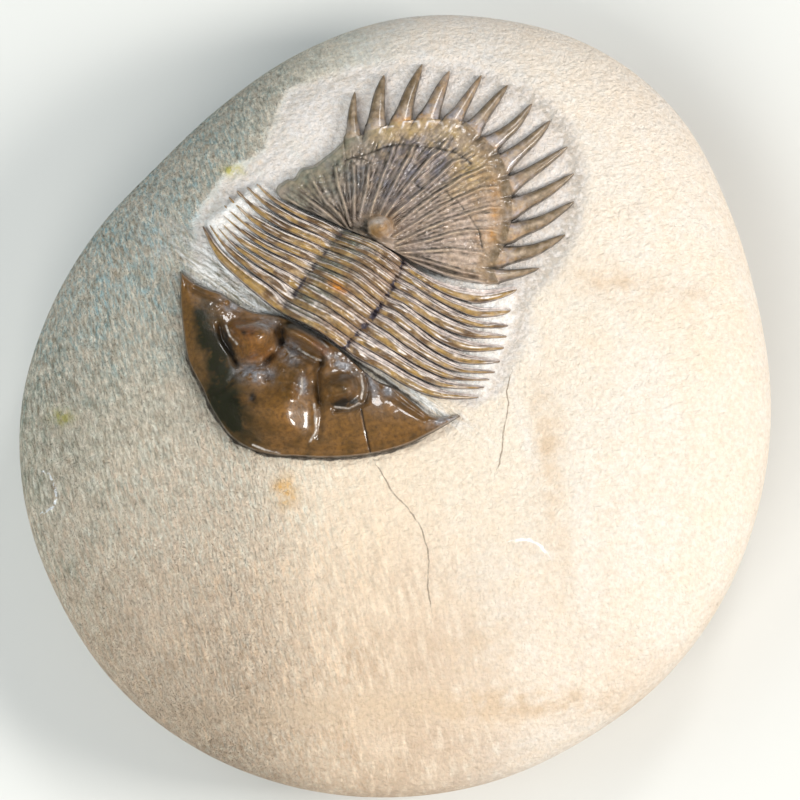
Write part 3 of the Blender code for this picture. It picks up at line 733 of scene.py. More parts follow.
def head_surface():
    """The head: straight rows between the front margin and the hind margin. The cheeks rise as a
    sine across them, the swellings are blended on, and the furrows are cut as soft lines."""
    along = np.linspace(0, 1, HEAD_COLUMNS + 1)[:, None]
    run = np.linspace(0, 1, HEAD_ROWS + 1)[None, :]
    across = 0.5 * run + 0.5 * (1 - np.cos(math.pi * run)) / 2
    front = along_curve(HEAD_FRONT_PX, along * (len(HEAD_FRONT_PX) - 1) + 0 * across)
    hind = along_curve(HEAD_HIND_PX, along * (len(HEAD_HIND_PX) - 1) + 0 * across)
    points = front + (hind - front) * across[..., None]
    px, py = points[..., 0], points[..., 1]
    width = np.linalg.norm(hind - front, axis=-1)
    from_front, from_hind = across * width, (1 - across) * width
    cheek = HEAD_CHEEK_RISE * np.sin(math.pi * across**0.7) * np.sin(math.pi * along) ** 0.5
    rise = HEAD_EDGE_RISE + cheek
    for outline, height, shoulder in HEAD_SWELLINGS:
        rise = blend_high(rise, swelling(px, py, outline, height, shoulder))
    rise = soften(rise, 5)
    cuts = [(depth, stroke(px, py, line, half)) for line, depth, half in HEAD_FURROWS]
    for depth, cut in cuts:
        rise = rise - depth * cut
    worn = np.max([stroke(px, py, line, RIM_HIGHLIGHT_HALF_PX) for line in HEAD_RIM_HIGHLIGHT_PX], axis=0)
    rise = rise + RIM_RIDGE_RISE * worn
    margin_groove = np.exp(-(((from_front - MARGIN_GROOVE_PX) / MARGIN_GROOVE_HALF_PX) ** 2))
    rise = soften(rise - MARGIN_GROOVE_DEPTH * margin_groove, 2)
    wrinkled = spots(px, py, (1, (260, 373), 18, 9, -10), (1, (294, 358), 16, 12), (1, (302, 378), 10, 14),
                     (1, (342, 364), 20, 7, -25), (1, (232, 306), 14, 9), (1, (388, 391), 14, 6, -30))
    rise = rise + MM * 0.06 * wrinkled * waves(px, py, 11, 60, 2.5, 9)
    rise = rise + MM * 0.020 * waves(px, py, 12, 40, 7, 22)
    edge = np.minimum(smooth_step(-0.5, 2.4, from_front), smooth_step(-0.5, 2.4, from_hind))
    rise = HEAD_LEAST_RISE + (rise - HEAD_LEAST_RISE) * edge
    crack = stroke(px, py, HEAD_CRACK_PX, HEAD_CRACK_HALF_PX)
    rise = rise - HEAD_CRACK_DEPTH * crack
    marks = {
        "crack": crack,
        # Painted highlight along the rims.
        "worn": worn,
        # Painted shade along the front and hind margins, where the plate rolls down to the stone.
        "edge": 1 - edge,
        # Dark olive on the left cheek and the left of the glabella: painted shade of the slopes turned from
        # the light, over the shell's own olive tone, which shows alone in the small spots.
        "olive": spots(px, py, (1.5, (219, 348), 46, 15, -68), (1.5, (231, 412), 34, 16, -50),
                       (0.8, (291, 326), 9, 5, -20), (0.5, (346, 380), 10, 7)),
        "red": spots(px, py, (0.8, (246, 332), 16, 12), (0.8, (322, 349), 10, 5, -35),
                     (0.6, (260, 355), 16, 8)),
        # Grey patches: painted sheen on the glabella's lobes and beside the eyes, partly the shell's grey
        # surface.
        "grey": spots(px, py, (1, (258, 373), 16, 8, -10), (0.6, (268, 326), 10, 7, -10),
                      (0.9, (292, 352), 12, 8, -60), (0.8, (372, 386), 14, 4, -70),
                      (0.8, (342, 364), 18, 5, -35), (0.9, (446, 419), 14, 4, 20),
                      (0.9, (305, 386), 4, 8), (0.9, (388, 390), 9, 5, -35),
                      (0.8, (233, 305), 10, 7, -30)),
        "amber": spots(px, py, (1, (194, 310), 44, 8, -82), (1.2, (254, 343), 20, 17),
                       (1, (313, 338), 14, 6, -35), (1, (392, 409), 7, 4), (0.8, (286, 405), 26, 24),
                       (0.8, (208, 400), 34, 4, -58), (0.6, (400, 428), 44, 12, 12),
                       (0.5, (343, 430), 14, 20)),
        # Real dark pits, plus painted shadow in the crescent left of the left eye and painted shade in every
        # furrow, in proportion to its depth.
        "pit": spots(px, py, (1, (256, 397), 4, 4), (1.6, (347, 403), 13, 5, 8), (1, (284, 338), 3, 8),
                     (1, (230, 342), 3.5, 17, 18), (0.8, (247, 333), 3, 3))
        + 0.35 * sum(depth / MM * cut for depth, cut in cuts),
    }
    return lay_on_stone(px, py, rise - PIT_DEPTH * spot(px, py, (256, 400), 4, 3)), marks


def build_plate(name, surfaces, slot, node):
    """One closed plate made of one or more sheets that share their joined edges."""
    points, faces, marks, start = [], [], {}, 0
    for sheet, values in surfaces:
        points.append(sheet.reshape(-1, 3))
        faces.append(grid_faces(sheet.shape[:2], start))
        for mark, value in values.items():
            marks.setdefault(mark, []).append(np.broadcast_to(value, sheet.shape[:2]).ravel())
        start += sheet.shape[0] * sheet.shape[1]
    joined = {mark: np.concatenate(value) for mark, value in marks.items()}
    closed = close_plate(np.concatenate(points), np.concatenate(faces), joined)
    piece = make_piece(name, *closed, slot, node)
    finish_plate(piece)
    return piece


head = build_plate("cephalon_shell", [head_surface()], "fossil_shell", "cephalon")

SHELL_BROWN = (0.165, 0.086, 0.030, 1.0)
SHELL_AMBER = (0.30, 0.135, 0.028, 1.0)
# Near-black olive: the shell's olive mottle, and painted shade on the left-facing slopes.
SHELL_OLIVE_SHADE = (0.018, 0.019, 0.009, 1.0)
SHELL_RED = (0.20, 0.075, 0.022, 1.0)
SHELL_GREY_SHEEN = (0.30, 0.29, 0.30, 1.0)
SHELL_RIM_HIGHLIGHT = (0.60, 0.54, 0.48, 1.0)
SHELL_DARK = (0.02, 0.016, 0.012, 1.0)

material, tree, shader = start_material("polished_head_calcite", 0.40, 0.8, 0.08)
colour = tint_all(
    tree, SHELL_BROWN,
    (SHELL_AMBER, "amber", 500.0, 0.8),
    (SHELL_OLIVE_SHADE, 0.24, 500.0, 1.8),
    (SHELL_AMBER, 0.18, 1100.0, 1.5),
    # Painted shade on the left-facing slopes, over the olive shell.
    (SHELL_OLIVE_SHADE, "olive", 450.0, 0.6),
    (SHELL_RED, "red", 700.0, 0.8),
    # Painted sheen on the lobes and by the eyes, over grey shell.
    (SHELL_GREY_SHEEN, "grey", 900.0, 1.5),
    # Dark pits, with painted shade in the furrows and a painted shadow by the left eye.
    (SHELL_DARK, "pit", 900.0, 0.8),
    (SHELL_DARK, "crack", 900.0, 0.2),
    # Painted shade along the plate's margins.
    (SHELL_DARK, "edge", 600.0, 0.5),
    # Painted highlight lines along the rims.
    (SHELL_RIM_HIGHLIGHT, "worn", 900.0, 1.3),
    (SHELL_DARK, 0.25, 2200.0, 1.6),
)
tree.links.new(colour, shader.inputs["Base Color"])
tree.links.new(grain_bump(tree, 2200.0, 0.5, 0.35, 0.0002), shader.inputs["Normal"])
head.data.materials.append(material)


# Ten thorax segments overlap like slats. Each is one plate with a raised ring over the axis and a
# long curved pleura on each side that ends in a point, its crest amber, with painted shade at its
# seams and furrow.
SEGMENT_LINES_PX = (
    ((205, 228), (222, 256), (245, 277), (266, 293), (287, 309), (319, 325),
     (348, 345), (365, 356), (385, 367), (410, 382), (440, 394), (477, 397)),
    ((212, 226), (231, 248), (254, 267), (276, 282), (296, 299), (326, 315),
     (356, 336), (375, 347), (395, 359), (420, 373), (448, 384), (483, 387)),
    ((218, 228), (237, 249), (259, 265), (283, 278), (302, 288), (334, 304),
     (365, 327), (382, 338), (402, 352), (427, 367), (455, 378), (487, 380)),
    ((223, 224), (243, 242), (266, 255), (290, 268), (309, 278), (341, 295),
     (373, 317), (390, 327), (408, 341), (432, 357), (460, 370), (494, 373)),
    ((223, 215), (246, 233), (270, 249), (296, 261), (315, 270), (348, 286),
     (379, 309), (394, 317), (413, 331), (437, 349), (465, 361), (498, 364)),
    ((226, 208), (249, 228), (273, 243), (300, 255), (320, 263), (353, 278),
     (384, 301), (400, 309), (419, 323), (442, 338), (470, 347), (503, 346)),
    ((229, 198), (254, 221), (279, 236), (305, 247), (325, 256), (359, 270),
     (390, 293), (406, 301), (424, 313), (447, 325), (473, 334), (505, 338)),
    ((238, 192), (261, 212), (286, 227), (313, 239), (332, 248), (365, 262),
     (395, 283), (411, 292), (430, 303), (452, 315), (477, 325), (507, 328)),
    ((249, 189), (270, 206), (294, 221), (320, 233), (338, 242), (370, 255),
     (399, 274), (414, 283), (432, 295), (454, 307), (479, 316), (507, 314)),
    ((258, 186), (276, 202), (300, 216), (326, 228), (343, 236), (374, 248),
     (402, 266), (417, 276), (435, 286), (456, 294), (482, 298), (515, 291)),
)
SEGMENT_COUNT = len(SEGMENT_LINES_PX)
LINE_PLACES = (0, 4, 5, 6, 11)
SEGMENT_COLUMNS = 260
SEGMENT_ROWS = 26
SEGMENT_GAP = 0.03
SEGMENT_LENGTH_PX = 340.0
SEGMENT_WIDTH_PX = 9.0
FURROW_DEPTH = 0.50 * MM
JOINT_DEPTH = 0.2 * MM
STREAK_RISE = 0.05 * MM
STREAK_DRAW = 0.10
RING_RISE = 3.4 * MM
RING_SHARE = 0.25
LINE_SIDES = (1.0, RING_SHARE, 0.0, RING_SHARE, 1.0)
PLEURA_SIDES = (0.0, RING_SHARE, 0.45, 0.75, 1.0)
PLEURA_RISES = (1.3 * MM, 1.3 * MM, 1.9 * MM, 1.4 * MM, 0.5 * MM)


def segment_line(number, place_now):
    """The middle line of a segment, or of the seam beside it for a half number: halfway between the
    neighbours' lines, with one more line at each end that goes on as the last two do."""
    lines = np.array(SEGMENT_LINES_PX, float)
    lines = np.concatenate([2 * lines[:1] - lines[1:2], lines, 2 * lines[-1:] - lines[-2:-1]])
    low = int(number)
    part = number - low
    return along_curve(lines[low] * (1 - part) + lines[min(low + 1, len(lines) - 1)] * part, place_now)


def segment_surface(number):
    """A segment: rows between its two seams. Along it the axial ring is a half ellipse on the
    pleurae, with a soft groove at each of its ends. Across it a broad crest and a low one stand on
    either side of a furrow, and waves drawn out along the segment make its streaks."""
    place_now = np.linspace(0, LINE_PLACES[-1], SEGMENT_COLUMNS + 1)
    column = place_now[:, None]
    ahead = segment_line(number - 0.5, place_now)[:, None]
    behind = segment_line(number + 0.5, place_now)[:, None]
    side = np.interp(place_now, LINE_PLACES, LINE_SIDES)[:, None]
    left = column < LINE_PLACES[2]
    tip = np.sqrt(np.clip((1 - side) / 0.2, 0, 1))
    parted = 1 - (0.14 + 0.12 * left) * smooth_step(0.30, 0.85, side)
    kept = (1 - SEGMENT_GAP) * parted * (0.06 + 0.94 * tip)
    rows = np.linspace(0, 1, SEGMENT_ROWS + 1)[None, :]
    across = 0.5 + (rows - 0.5) * kept
    points = ahead + (behind - ahead) * across[..., None]
    px, py = points[..., 0], points[..., 1]
    ring = RING_RISE * np.sqrt(np.clip(1 - (side / RING_SHARE) ** 2, 0, 1))
    crest = blend_high(ring, np.interp(side, PLEURA_SIDES, PLEURA_RISES), 4)
    shift = 0.05 * waves(px, py, 60 + number, 12, 20, 70)
    broad = np.exp(-(((rows - 0.34 - shift) / 0.28) ** 4))
    thin = 0.5 * np.exp(-(((rows - 0.84 - shift) / 0.08) ** 2))
    profile = np.clip(broad + thin, 0.15, 1) * (0.45 + 0.55 * smooth_step(0, 0.10, rows))
    depth = np.minimum(FURROW_DEPTH, 0.5 * crest)
    joint = np.exp(-(((side - RING_SHARE) / 0.018) ** 2)) * (1 - 0.6 * left)
    grit = MM * (0.03 + 0.05 * (side < RING_SHARE)) * waves(px, py, 20 + number, 60, 2.5, 9)
    run_px = SEGMENT_LENGTH_PX * column / LINE_PLACES[-1] + 0 * rows
    streak = waves(STREAK_DRAW * run_px, SEGMENT_WIDTH_PX * rows, 80 + number, 50, 1.3, 4.5)
    rise = crest - depth * (1 - profile) - JOINT_DEPTH * joint + grit + STREAK_RISE * streak
    wander = 0.5 + 0.5 * waves(px, py, 40 + number, 16, 12, 50)
    west = left * smooth_step(0.25, 0.40, side)
    broad_band = 0.26 if number == 1 else 0.14
    bare = 0.9 if number == 1 else 0.5
    gold = smooth_step(0.04, 0.12, rows) * smooth_step(0.64, 0.56, rows - shift - broad_band * west)
    furrow_line = np.exp(-(((rows - 0.74 - 0.20 * west - shift) / 0.035) ** 2))
    glint_line = np.exp(-(((rows - 0.62 - 0.24 * west - shift) / (0.05 + 0.04 * west)) ** 2))
    marks = {
        "crest": np.clip(gold * (0.8 + 0.4 * wander), 0, 1),
        # Painted highlight on the high streaks and painted shade in the low ones.
        "light": 0.8 * smooth_step(0.45, 1.1, streak) * smooth_step(0.10, 0.30, rows) * (1 - bare * west),
        "dim": 0.45 * smooth_step(-0.5, -1.2, streak) * (1 - bare * west),
        # Painted shade at the segment's front seam and along its furrow.
        "dark": smooth_step(0.07, 0.02, rows) + 0.6 * furrow_line,
        "side": 0.24 * smooth_step(RING_SHARE, 0.3, side),
        "left": smooth_step(5.6, 4.2, column) * smooth_step(3.6, 4.2, column),
        "right": smooth_step(4.9, 5.8, column) * smooth_step(6.2, 6.0, column),
        "ring": 0.35 * smooth_step(0.27, 0.24, side),
        "umber": 0.8 * gold * smooth_step(0.55, 0.10, wander),
        "glint": glint_line * np.clip(0.6 + 0.9 * wander, 0, 1),
        # Painted shade in the axial furrow, weaker on the left.
        "joint": joint,
        "orange": spot(px, py, (339, 289), 9, 3.5, -35),
    }
    return lay_on_stone(px, py, rise), marks


THORAX_GREY = (0.55, 0.45, 0.41, 1.0)
THORAX_GOLD = (0.40, 0.245, 0.075, 1.0)
THORAX_UMBER = (0.16, 0.085, 0.03, 1.0)
THORAX_BROWN = (0.20, 0.12, 0.06, 1.0)
THORAX_GREEN = (0.24, 0.26, 0.20, 1.0)
THORAX_PINK = (0.52, 0.38, 0.30, 1.0)
THORAX_PALE = (0.98, 0.88, 0.82, 1.0)
THORAX_SHADE = (0.06, 0.045, 0.04, 1.0)
THORAX_ORANGE = (0.70, 0.26, 0.02, 1.0)
THORAX_INDIGO = (0.055, 0.045, 0.06, 1.0)

material, tree, shader = start_material("thorax_calcite", 0.38, 0.7, 0.12)
colour = tint_all(
    tree, THORAX_GREY,
    (THORAX_PALE, "side", 700.0, 1.6),
    (THORAX_GREEN, "left", 300.0, 0.6),
    (THORAX_PINK, "right", 400.0, 0.8),
    (THORAX_GOLD, "crest", 500.0, 0.3),
    (THORAX_UMBER, "umber", 700.0, 1.2),
    # Painted light on the high streaks, then painted shade in the low streaks.
    (THORAX_PALE, "light", 700.0, 0.6),
    (THORAX_SHADE, "dim", 700.0, 0.6),
    (THORAX_BROWN, "ring", 500.0, 1.6),
    (THORAX_PALE, "glint", 900.0, 1.2),
    (THORAX_ORANGE, "orange", 900.0, 1.0),
    (THORAX_SHADE, 0.19, 1500.0, 1.8),
    # Painted shade at the seams and furrows.
    (THORAX_SHADE, "dark", 900.0, 0.6),
    # Painted shade in the axial furrows.
    (THORAX_INDIGO, "joint", 900.0, 2.4),
)
tree.links.new(colour, shader.inputs["Base Color"])
tree.links.new(grain_bump(tree, 1900.0, 0.8, 0.6, 0.0004), shader.inputs["Normal"])
for number in range(1, SEGMENT_COUNT + 1):
    segment = build_plate(f"thorax_shell_{number:02d}", [segment_surface(number)], "fossil_shell",
                          f"thorax_segment_{number:02d}")
    segment.data.materials.append(material)


# The tail shield is a thin fan: seventeen low ribs spread from a short axis with a knob, and flat
# pointed spines grow from its margin. Its front left margin is broken off.
TAIL_AXIS_FRONT_PX = (376, 244)
TAIL_AXIS_BACK_PX = (383, 226)
TAIL_AXIS_OUTLINE_PX = (
    (345, 230), (348, 224), (356, 215), (373, 210), (391, 211), (401, 222), (405, 240), (404, 259),
)
TAIL_BROKEN_MARGIN_PX = (
    (280, 200), (278, 190), (288, 182), (295, 181), (302, 171), (314, 168), (325, 160), (335, 152),
    (344, 143),
)
TAIL_NOTCHES_PX = (
    (344, 143), (364, 137), (389, 127), (415, 122), (442, 122), (464, 124), (480, 139), (497, 155),
    (507, 177), (510, 198), (510, 223), (503, 247), (490, 270), (498, 286),
)
TAIL_FRONT_BULGE_PX = 7.5
TAIL_SPINES_PX = (
    ((353, 117), (355, 94)), ((379, 101), (384, 77)), ((410, 95), (422, 66)),
    ((439, 95), (449, 73)), ((466, 102), (481, 77)), ((491, 107), (507, 87)),
    ((513, 128), (531, 106)), ((531, 142), (549, 123)), ((539, 168), (566, 149)),
    ((543, 195), (572, 176)), ((541, 223), (572, 204)), ((532, 252), (563, 237)),
    ((516, 275), (537, 270)),
)
TAIL_RIBS_PX = (
    ((285, 198), (300, 209), (318, 220), (341, 233)),
    ((290, 188), (306, 200), (324, 213), (343, 229)),
    ((311, 178), (319, 192), (327, 205), (340, 217), (346, 226)),
    ((336, 170), (338, 184), (342, 197), (346, 209), (349, 220)),
    ((354, 169), (355, 186), (355, 202), (355, 214)),
    ((369, 168), (368, 186), (365, 200), (362, 212)),
    ((394, 150), (389, 165), (384, 177), (378, 195), (373, 210)),
    ((414, 148), (409, 160), (402, 172), (393, 190), (384, 208)),
    ((447, 144), (439, 154), (432, 159), (424, 168), (412, 183), (401, 197), (391, 211)),
    ((471, 156), (462, 162), (453, 165), (442, 176), (430, 187), (421, 195), (398, 214)),
    ((496, 170), (485, 169), (474, 175), (462, 180), (451, 188), (439, 195), (416, 212), (402, 224)),
    ((495, 190), (481, 191), (474, 194), (462, 199), (439, 211), (425, 220), (402, 234)),
    ((500, 210), (489, 210), (474, 214), (451, 222), (428, 231), (405, 242)),
    ((498, 235), (491, 233), (468, 233), (451, 236), (428, 243), (405, 248)),
    ((490, 262), (481, 256), (468, 254), (451, 252), (433, 253), (404, 255)),
    ((478, 277), (462, 274), (445, 269), (428, 264), (405, 258)),
    ((484, 284), (462, 280), (445, 276), (425, 268), (406, 261)),
)
RIB_RUN_ON_PX = 9.0
TAIL_CRACKS_PX = (
    ((413, 185), (419, 190), (425, 192)), ((445, 193), (449, 199), (452, 203)),
    ((456, 203), (463, 212)), ((468, 218), (478, 234), (481, 250)), ((352, 160), (364, 162), (375, 168)),
)
TAIL_STEP_PX = (
    (346, 163), (356, 159), (367, 157), (385, 150), (400, 147), (414, 149), (438, 152), (456, 156),
    (470, 166),
)
# Arcs just inside the notches, each a low raised bead with a painted highlight.
TAIL_HIGHLIGHT_ARCS_PX = (
    ((380, 135), (382, 130), (393, 129)), ((402, 131), (404, 124), (418, 124), (419, 130)),
    ((425, 131), (428, 124), (441, 125), (443, 131)), ((449, 134), (452, 128), (461, 129), (463, 135)),
)
BROKEN_SECTORS = 2
SECTOR_COLUMNS = 28
TAIL_AXIS_ROWS = 22
TAIL_FAN_ROWS = 84
SPINE_ROWS = 44
SECTOR_PX = 24.0
FAN_PX = 90.0
FAN_DRAW = 0.2
TAIL_AXIS_RISE = 2.3 * MM
TAIL_RINGS_PX = ((339, 232), (402, 262))
TAIL_RING_STEP_PX = 7
TAIL_RING_RISE = 0.22 * MM
TAIL_KNOB = ((381, 229), 12.5, 11.5)
TAIL_KNOB_RISE = 4.7 * MM
TAIL_CRACK_DEPTH = 0.15 * MM
TAIL_BEAD_RISE = 0.10 * MM
TAIL_HOLE_DEPTH = 0.25 * MM
TAIL_INNER_RISE = 1.9 * MM
TAIL_MARGIN_RISE = 1.0 * MM
SPINE_TIP_RISE = 0.35 * MM
SPINE_PLACES = (0, 0.03, 0.12, 0.3, 0.6, 0.85, 1)
SPINE_WIDTHS = (1, 0.90, 0.75, 0.57, 0.41, 0.21, 0.04)


def tail_margin(place_now):
    """The margin, counted in sectors from its front left corner: a smooth curve along the break,
    then straight from notch to notch, where the spines' roots stand."""
    broken = along_curve(TAIL_BROKEN_MARGIN_PX, np.minimum(place_now, BROKEN_SECTORS) * 4)
    notches = np.array(TAIL_NOTCHES_PX, float)
    sector = np.clip(place_now - BROKEN_SECTORS, 0, len(notches) - 1)
    start = np.clip(np.floor(sector), 0, len(notches) - 2).astype(int)
    rooted = notches[start] + (notches[start + 1] - notches[start]) * (sector - start)[..., None]
    return np.where((place_now <= BROKEN_SECTORS)[..., None], broken, rooted)


def rib_relief(px, py):
    """The fan's ribs. With d1 and d2 the distances to the two nearest rib lines, a broad rib is the
    cosine of d1 / (d1 + d2), 1 on its line and 0 half way to the next, and a fine ripple runs
    three times as fast. A sharp crest stands on the line, and a furrow runs beside it."""
    lines = []
    for line in TAIL_RIBS_PX:
        last, before = np.array(line[-1]), np.array(line[-2])
        run_on = last + RIB_RUN_ON_PX * (last - before) / np.hypot(*(last - before))
        lines.append(line + (tuple(run_on),))
    distances = np.sort([line_distance(px, py, line) for line in lines], axis=0)
    nearest, next_one = distances[0], distances[1]
    part = nearest / (nearest + next_one + 1e-6)
    broad = 0.5 + 0.5 * np.cos(2 * math.pi * part)
    fine = 0.5 + 0.5 * np.cos(6 * math.pi * part)
    crest = np.exp(-((nearest / 1.0) ** 2))
    beside = np.exp(-(((nearest - 2.4) / 0.9) ** 2))
    return broad, fine, crest, beside


def tail_marks(px, py, outward, crest, trough):
    """The fan's colours: taupe inside, green on the left, gold, honey and rose towards the margin,
    umber and blue at it, orange in places, and dark cracks. Painted shade lies in the furrows and
    at the notches, painted highlight on the rib crests, on arcs by the notches and on the knob's
    top, and painted shadow in the sunk ring round the knob."""
    step = stroke(px, py, TAIL_STEP_PX, 1.1)
    highlight_arcs = sum(stroke(px, py, line, 0.9) for line in TAIL_HIGHLIGHT_ARCS_PX)
    knob = spot(px, py, *TAIL_KNOB)
    ring = np.exp(-(((knob - 0.22) / 0.16) ** 2))
    honey = smooth_step(0.60, 0.74, outward) * smooth_step(355, 380, px)
    rosy = smooth_step(420, 465, px) * smooth_step(170, 220, py)
    knob_shadow_side = 0.3 + 0.7 * smooth_step(392, 372, px) * smooth_step(214, 226, py)
    return {
        "crest": crest,
        "furrow": trough,
        "margin": smooth_step(0.35, 0.85, outward) * smooth_step(360, 400, px),
        "green": smooth_step(400, 330, px) * (0.4 + 0.6 * smooth_step(0.2, 0.8, outward)),
        "orange": spots(px, py, (0.6, (497, 205), 30, 7, 85), (1, (407, 120), 12, 5),
                        (1, (432, 114), 12, 5), (0.8, (490, 238), 12, 6), (0.7, (481, 140), 14, 5, -40)),
        "dark": spots(px, py, (1.2, (412, 172), 46, 28, 25), (0.9, (365, 175), 30, 26)),
        "crack": step + sum(stroke(px, py, line, 0.8) for line in TAIL_CRACKS_PX),
        # Painted highlight on the arcs by the notches and on the knob's top.
        "bead": 0.8 * highlight_arcs + 0.7 * spot(px, py, (379, 224), 7, 3, 10),
        "blue": 0.35 * smooth_step(0.84, 1.0, outward) * smooth_step(430, 470, px),
        "honey": 0.8 * honey * smooth_step(490, 455, px) * smooth_step(210, 170, py)
        + 0.8 * spot(px, py, (468, 178), 30, 12, 35),
        "umber": 0.8 * smooth_step(0.82, 0.96, outward) * smooth_step(440, 480, px),
        "rosy": 0.8 * rosy * smooth_step(0.95, 0.75, outward),
        "axis": np.clip(1.2 * spot(px, py, (380, 230), 15, 13), 0, 0.9),
        # Painted shadow in the sunk ring round the knob, heaviest on its left and lower side, and in the
        # groove left of it.
        "hole": ring * knob_shadow_side + 0.7 * spot(px, py, (358, 231), 12, 2.5, -8),
    }


def fan_surface():
    """The fan: rows from the keel of the axis out over the axis's edge to the margin. The axis is
    a half ellipse with rings as a cosine along it, the fan falls as a power of the way out, and the
    ribs and fine streaks stand on it. It thins at the notches, the break and the front."""
    sectors = BROKEN_SECTORS + len(TAIL_SPINES_PX)
    columns = sectors * SECTOR_COLUMNS
    place_now = (np.arange(columns + 1) / SECTOR_COLUMNS)[:, None]
    turn = place_now / sectors
    rows = np.arange(TAIL_AXIS_ROWS + TAIL_FAN_ROWS + 1)[None, :]
    inner = np.clip(rows / TAIL_AXIS_ROWS, 0, 1) + 0 * place_now
    outer = np.clip((rows - TAIL_AXIS_ROWS) / TAIL_FAN_ROWS, 0, 1) + 0 * place_now
    spread = (1 - np.abs(2 * turn - 1) + 0 * rows)[..., None]
    front, back = np.array(TAIL_AXIS_FRONT_PX, float), np.array(TAIL_AXIS_BACK_PX, float)
    keel = front + (back - front) * spread
    axis_edge = along_curve(TAIL_AXIS_OUTLINE_PX, turn * (len(TAIL_AXIS_OUTLINE_PX) - 1) + 0 * rows)
    points = keel + (axis_edge - keel) * inner[..., None]
    points = points + (tail_margin(place_now + 0 * rows) - points) * outer[..., None]
    bulge = np.sin(math.pi * outer) * smooth_step(sectors - 2.5, sectors, place_now)
    points[..., 1] += TAIL_FRONT_BULGE_PX * bulge
    px, py = points[..., 0], points[..., 1]
    broad, fine, crest, beside = rib_relief(px, py)
    fade = smooth_step(0.30, 0.60, inner) * smooth_step(0.97, 0.72, outer)
    fan = TAIL_INNER_RISE + (TAIL_MARGIN_RISE - TAIL_INNER_RISE) * outer**1.5
    fan = fan + fade * MM * (0.42 * (broad - 0.5) + 0.06 * fine + 0.26 * crest - 0.14 * beside)
    fan = fan + fade * 0.05 * MM * waves(px, py, 33, 60, 2.5, 7)
    streak = waves(SECTOR_PX * place_now + 0 * rows, FAN_DRAW * FAN_PX * outer, 35, 60, 2.0, 6.0)
    fan = fan + fade * 0.07 * MM * streak
    axis = TAIL_AXIS_RISE * np.sqrt(np.clip(1 - inner**2, 0, 1))
    ring_run = line_distance(px, py, TAIL_RINGS_PX)
    axis = axis + TAIL_RING_RISE * np.cos(2 * math.pi * ring_run / TAIL_RING_STEP_PX) * (1 - inner)
    knob = TAIL_KNOB_RISE * np.sqrt(np.clip(1.45 * spot(px, py, *TAIL_KNOB) - 0.45, 0, 1))
    rise = blend_high(blend_high(fan, np.maximum(axis, 0), 4), knob, 5)
    lateral = 2 * np.mod(place_now, 1.0) - 1
    notch = 1 - 0.6 * smooth_step(0.86, 1.0, outer) * np.abs(lateral) ** 4 * (place_now > BROKEN_SECTORS)
    torn = 1 - 0.75 * smooth_step(0.95, 1.0, outer) * (place_now < BROKEN_SECTORS)
    front_edge = smooth_step(0, 0.10, np.minimum(place_now, sectors - place_now) + 0 * rows)
    rise = rise * notch * torn * (0.35 + 0.65 * front_edge) + 0.02 * MM * waves(px, py, 31, 50, 2.2, 8)
    east = smooth_step(420, 480, px) * smooth_step(140, 200, py)
    lined = np.maximum(beside, 0.6 * (1 - fine) * (1 - crest)) * (1 - 0.45 * east)
    wander = np.clip(0.55 + 0.6 * waves(px, py, 36, 24, 10, 40), 0.1, 1)
    # Painted shade in the low streaks.
    streak_dark = 0.35 * smooth_step(-0.3, -1.1, streak)
    rooted = (place_now > BROKEN_SECTORS) & (place_now < sectors)
    # Painted shade round the notches between the spines.
    notched = 1.3 * smooth_step(0.90, 1.0, outer) * np.abs(lateral) ** 8 * rooted
    lined = fade * (1.1 * lined + streak_dark) * (0.5 + 0.5 * smooth_step(0, 0.35, outer)) + notched
    # The crest mark passed in is a painted highlight along each rib's crest.
    marks = tail_marks(px, py, outer, 0.8 * fade * crest * wander, lined)
    rise = rise - TAIL_CRACK_DEPTH * marks["crack"] + TAIL_BEAD_RISE * marks["bead"]
    rise = rise - TAIL_HOLE_DEPTH * marks["hole"]
    return points, rise, marks


